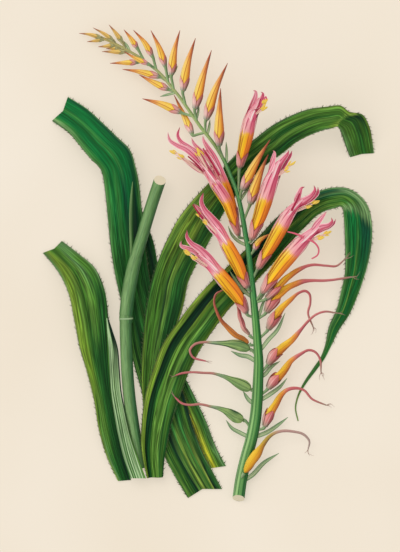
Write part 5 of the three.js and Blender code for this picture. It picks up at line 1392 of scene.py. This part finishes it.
anther_roots = []
anther_leans = []
for k, (root, course, petals, anthers, girth, turning) in enumerate(blooms, start=1):
    line = Course(place(course))
    random = np.random.default_rng(40 + k)
    calyx_shape = Shape()
    furled(calyx_shape, line, lambda share: cup_radii(share, girth), (0.0, CALYX_SHARE), 1.25,
           SEPAL_THICKNESS, first=math.pi / 3, rows=34, lean=0.5 * MM, columns=13,
           narrow=[1, 1, 0.95, 0.75, 0.45, 0.03])
    calyx_shape.build(f"bloom_{k}_sepals", [SEPAL_SKIN], [f"bloom_{k}_calyx"])
    petal_shape = Shape()
    open_petals(petal_shape, line, petals, girth, turning)
    throat_core(petal_shape, line, petals, girth)
    for owner, kind, strand in strands:
        if owner == k:
            tube(petal_shape, Course(place(strand)),
                 lambda share, angle: np.interp(share, [0, 1], STRAND_RADII) * MM, (40, 8), kind=kind)
    throat = line.reach(np.array([0.8, 0.95]))
    for place_of_anther in place(anthers):
        for _ in range(FILAMENTS_A_PLACE):
            stray = random.normal(0, ANTHER_SPREAD, 3) * ANTHER_SPREAD_SHAPE
            end = place_of_anther + stray - [0, 0, ANTHER_DROP]
            arch = throat[1] * 0.4 + end * 0.6 + [0, 0, FILAMENT_RISE]
            tube(petal_shape, Course([throat[0], throat[1], arch, end]), even(FILAMENT_RADIUS), (14, 6),
                 kind=1)
            direction = unit(end - throat[1])
            anther_roots.append(end - direction * ANTHER_OVERLAP)
            anther_leans.append(unit(direction + random.normal(0, ANTHER_TILT, 3)))
    petal_shape.build(f"bloom_{k}_petals", [COROLLA_SKIN, FILAMENT, STRAND, CRIMSON],
                      [f"bloom_{k}_corolla"])
grow_spikes("anthers", anther_roots, anther_leans, np.tile([0.0, 0.0, -1.0], (len(anther_roots), 1)), {
    "Length": ANTHER_LENGTH, "Radius": ANTHER_RADIUS, "Hook": 0.18, "Belly": 1.0, "Seed": 5,
    "Sides": 7, "Steps": 9, "Material": plain("anther yellow", (236, 200, 84))}, "bud_orange")

# Withered blooms: the petals shrunk to a yellow tube and a twisted pink thread that frays, in a
# calyx that swells over the young fruit. Each still sits on its own pedicel.
FRAY_RADIUS = 0.36 * MM
FRAY_LENGTHS = (4 * MM, 7.5 * MM)
WILT_FOLD = 0.16
WILT_TWIST = 16
WILT_CALYX_SHARE = 0.17
LAST_WITH_CALYX = 6
CALYX_RELIEF = 0.5 * MM
FADED_THICKNESS = 0.35 * MM
# These skins go round each piece from the lit side to painted shade.
WITHERED_SKIN = painted("withered skin", [
    (0.3, [(0, (246, 206, 84)), (0.35, (242, 190, 48)), (0.6, (224, 150, 44)),
           (1, (168, 84, 50))]),
    (0.42, [(0, (238, 178, 70)), (0.5, (220, 136, 58)), (1, (150, 66, 52))]),
    (0.52, [(0, (226, 156, 146)), (0.4, (200, 106, 106)), (1, (148, 66, 74))]),
    (0.82, [(0, (226, 166, 156)), (0.4, (200, 116, 114)), (1, (150, 78, 82))]),
    (0.94, [(0, (196, 154, 140)), (0.4, (174, 122, 110)), (1, (132, 94, 86))]),
    (1.0, [(0, (176, 148, 130)), (1, (128, 108, 94))]),
], by="side", contrast=0.3, spacing=0.5, length=18, jag=0.05,
    lines=[((124, 54, 40), 3, 0.16, 0.75, 0.12, 0.46)])
OLDEST_SKIN = painted("oldest bloom skin", [
    (0.24, [(0, (244, 200, 72)), (0.4, (234, 180, 44)), (0.7, (206, 140, 40)),
            (1, (150, 90, 44))]),
    (0.44, [(0, (206, 184, 90)), (0.5, (170, 140, 66)), (1, (120, 92, 56))]),
    (0.6, [(0, (214, 176, 160)), (0.5, (184, 144, 134)), (1, (130, 96, 92))]),
    (1.0, [(0, (200, 178, 166)), (1, (140, 116, 110))]),
], by="side", contrast=0.3, spacing=0.5, length=18, lines=[((124, 62, 40), 3, 0.14, 0.7, 0.04, 0.4)])
RUSTY_SKIN = painted("rusty bloom skin", [
    (0.3, [(0, (222, 160, 70)), (0.4, (204, 128, 56)), (1, (124, 56, 44))]),
    (0.6, [(0, (206, 130, 90)), (0.4, (170, 88, 66)), (1, (110, 50, 46))]),
    (1.0, [(0, (206, 140, 128)), (0.5, (168, 92, 88)), (1, (118, 56, 60))]),
], by="side", contrast=0.3, spacing=0.5, length=18, lines=[((110, 50, 40), 2, 0.14, 0.7, -1, 0.6)])
CALYX_FADED_SKIN = painted("old sepal skin", [
    (0.0, [(0, (176, 168, 144)), (0.4, (182, 150, 132)), (0.7, (134, 122, 104)),
           (1, (92, 96, 82))]),
    (0.45, [(0, (236, 184, 174)), (0.4, (222, 142, 136)), (0.7, (182, 96, 96)),
            (1, (126, 70, 72))]),
    (0.9, [(0, (228, 142, 134)), (0.5, (204, 106, 102)), (1, (136, 62, 66))]),
], by="side", contrast=0.4, spacing=0.6, length=12, rim=((120, 48, 52), 0.08, 0.9),
    lines=[((250, 214, 204), 2, 0.16, 0.4, 0.1, 2)])
FRAYED = plain("frayed end", (158, 124, 110))


def frayed(shape, line, random, kind, count=3):
    """Thin torn threads that spread from the end of a line."""
    end, before = line.reach(np.array([1.0, 0.97]))
    onward = unit(end - before)
    for _ in range(count):
        drift = unit(onward + random.normal(0, 0.35, 3) * [1, 1, 0.4])
        length = random.uniform(*FRAY_LENGTHS)
        tip = end + unit(drift + random.normal(0, 0.4, 3) * [1, 1, 0.3]) * length
        thread = Course([before, end, end + drift * length * 0.5, tip])
        tube(shape, thread, lambda share, angle: FRAY_RADIUS * (1.1 - share), (12, 5), kind=kind)


def wilted(shape, line, radii, kind, calyx, seed):
    """A shrunken twisted tube, thinner towards its thread."""
    tube(shape, line, lambda share, angle: spread(radii, share) * MM * rounded(share - 0.005)
         * np.where(share < calyx, 0.8, 0.92)
         * (1 + WILT_FOLD * np.cos(3 * angle - WILT_TWIST * share + seed)),
         (150, 20), ends=(0.01, 1), kind=kind)


for k, (root, course, radii) in enumerate(withered, start=1):
    line = Course(place(course))
    random = np.random.default_rng(70 + k)
    wilt_shape = Shape()
    has_calyx = k <= LAST_WITH_CALYX
    wilted(wilt_shape, line, radii, 0, WILT_CALYX_SHARE if has_calyx else 0, k)
    if has_calyx:
        furled(wilt_shape, line, lambda share: spread(radii, share) * MM + CALYX_RELIEF, (0.0, 0.2),
               1.25, FADED_THICKNESS, first=0.4 * k, rows=26, kind=1, lean=0.4 * MM, columns=11,
               narrow=[1, 1, 0.95, 0.6, 0.03])
    if k != 9:
        frayed(wilt_shape, line, random, 2)
    tube_skin = {7: OLDEST_SKIN, 8: RUSTY_SKIN, 9: CALYX_FADED_SKIN}.get(k, WITHERED_SKIN)
    wilt_shape.build(f"withered_{k}_bloom", [tube_skin, CALYX_FADED_SKIN, FRAYED],
                     [f"withered_{k}"])

# Seed capsules: three-sided green pods with a tough wall, a long beak and the last of a withered
# style. They are still closed, and each sits on its own pedicel.
CAPSULE_RADII = [2.2, 4.1, 3.5, 2.1, 1.4, 1.0, 0.9, 0.9, 0.8, 0.8, 0.5]
CAPSULE_SKIN = painted("capsule skin", [
    (0.3, [(0, (78, 104, 74)), (0.34, (62, 92, 62)), (0.42, (166, 190, 122)),
           (0.5, (110, 144, 86)), (0.56, (150, 178, 106)), (0.62, (66, 96, 62)),
           (1, (50, 76, 56))]),
    (0.45, [(0, (100, 124, 92)), (0.34, (84, 110, 80)), (0.45, (160, 180, 136)),
            (0.62, (84, 108, 82)), (1, (74, 96, 76))]),
    (0.55, [(0, (206, 156, 140)), (0.5, (180, 120, 110)), (1, (130, 84, 84))]),
    (1.0, [(0, (214, 140, 136)), (0.5, (190, 100, 104)), (1, (140, 70, 78))]),
], by="side", contrast=0.4, spacing=0.9, length=22, jag=0.06,
    lines=[((40, 66, 46), 6, 0.24, 0.85, -1, 0.42)])
for k, (root, course) in enumerate(capsules, start=1):
    line = Course(place(course))
    pod_shape = Shape()
    tube(pod_shape, line, lambda share, angle: spread(CAPSULE_RADII, share) * MM * rounded(share)
         * (1 + 0.07 * np.cos(3 * angle + k) * (share < 0.4) + 0.03 * np.cos(12 * angle)),
         (180, 36))
    frayed(pod_shape, line, np.random.default_rng(90 + k), 1, 2)
    pod_shape.build(f"capsule_{k}_pod", [CAPSULE_SKIN, FRAYED], [f"capsule_{k}"])
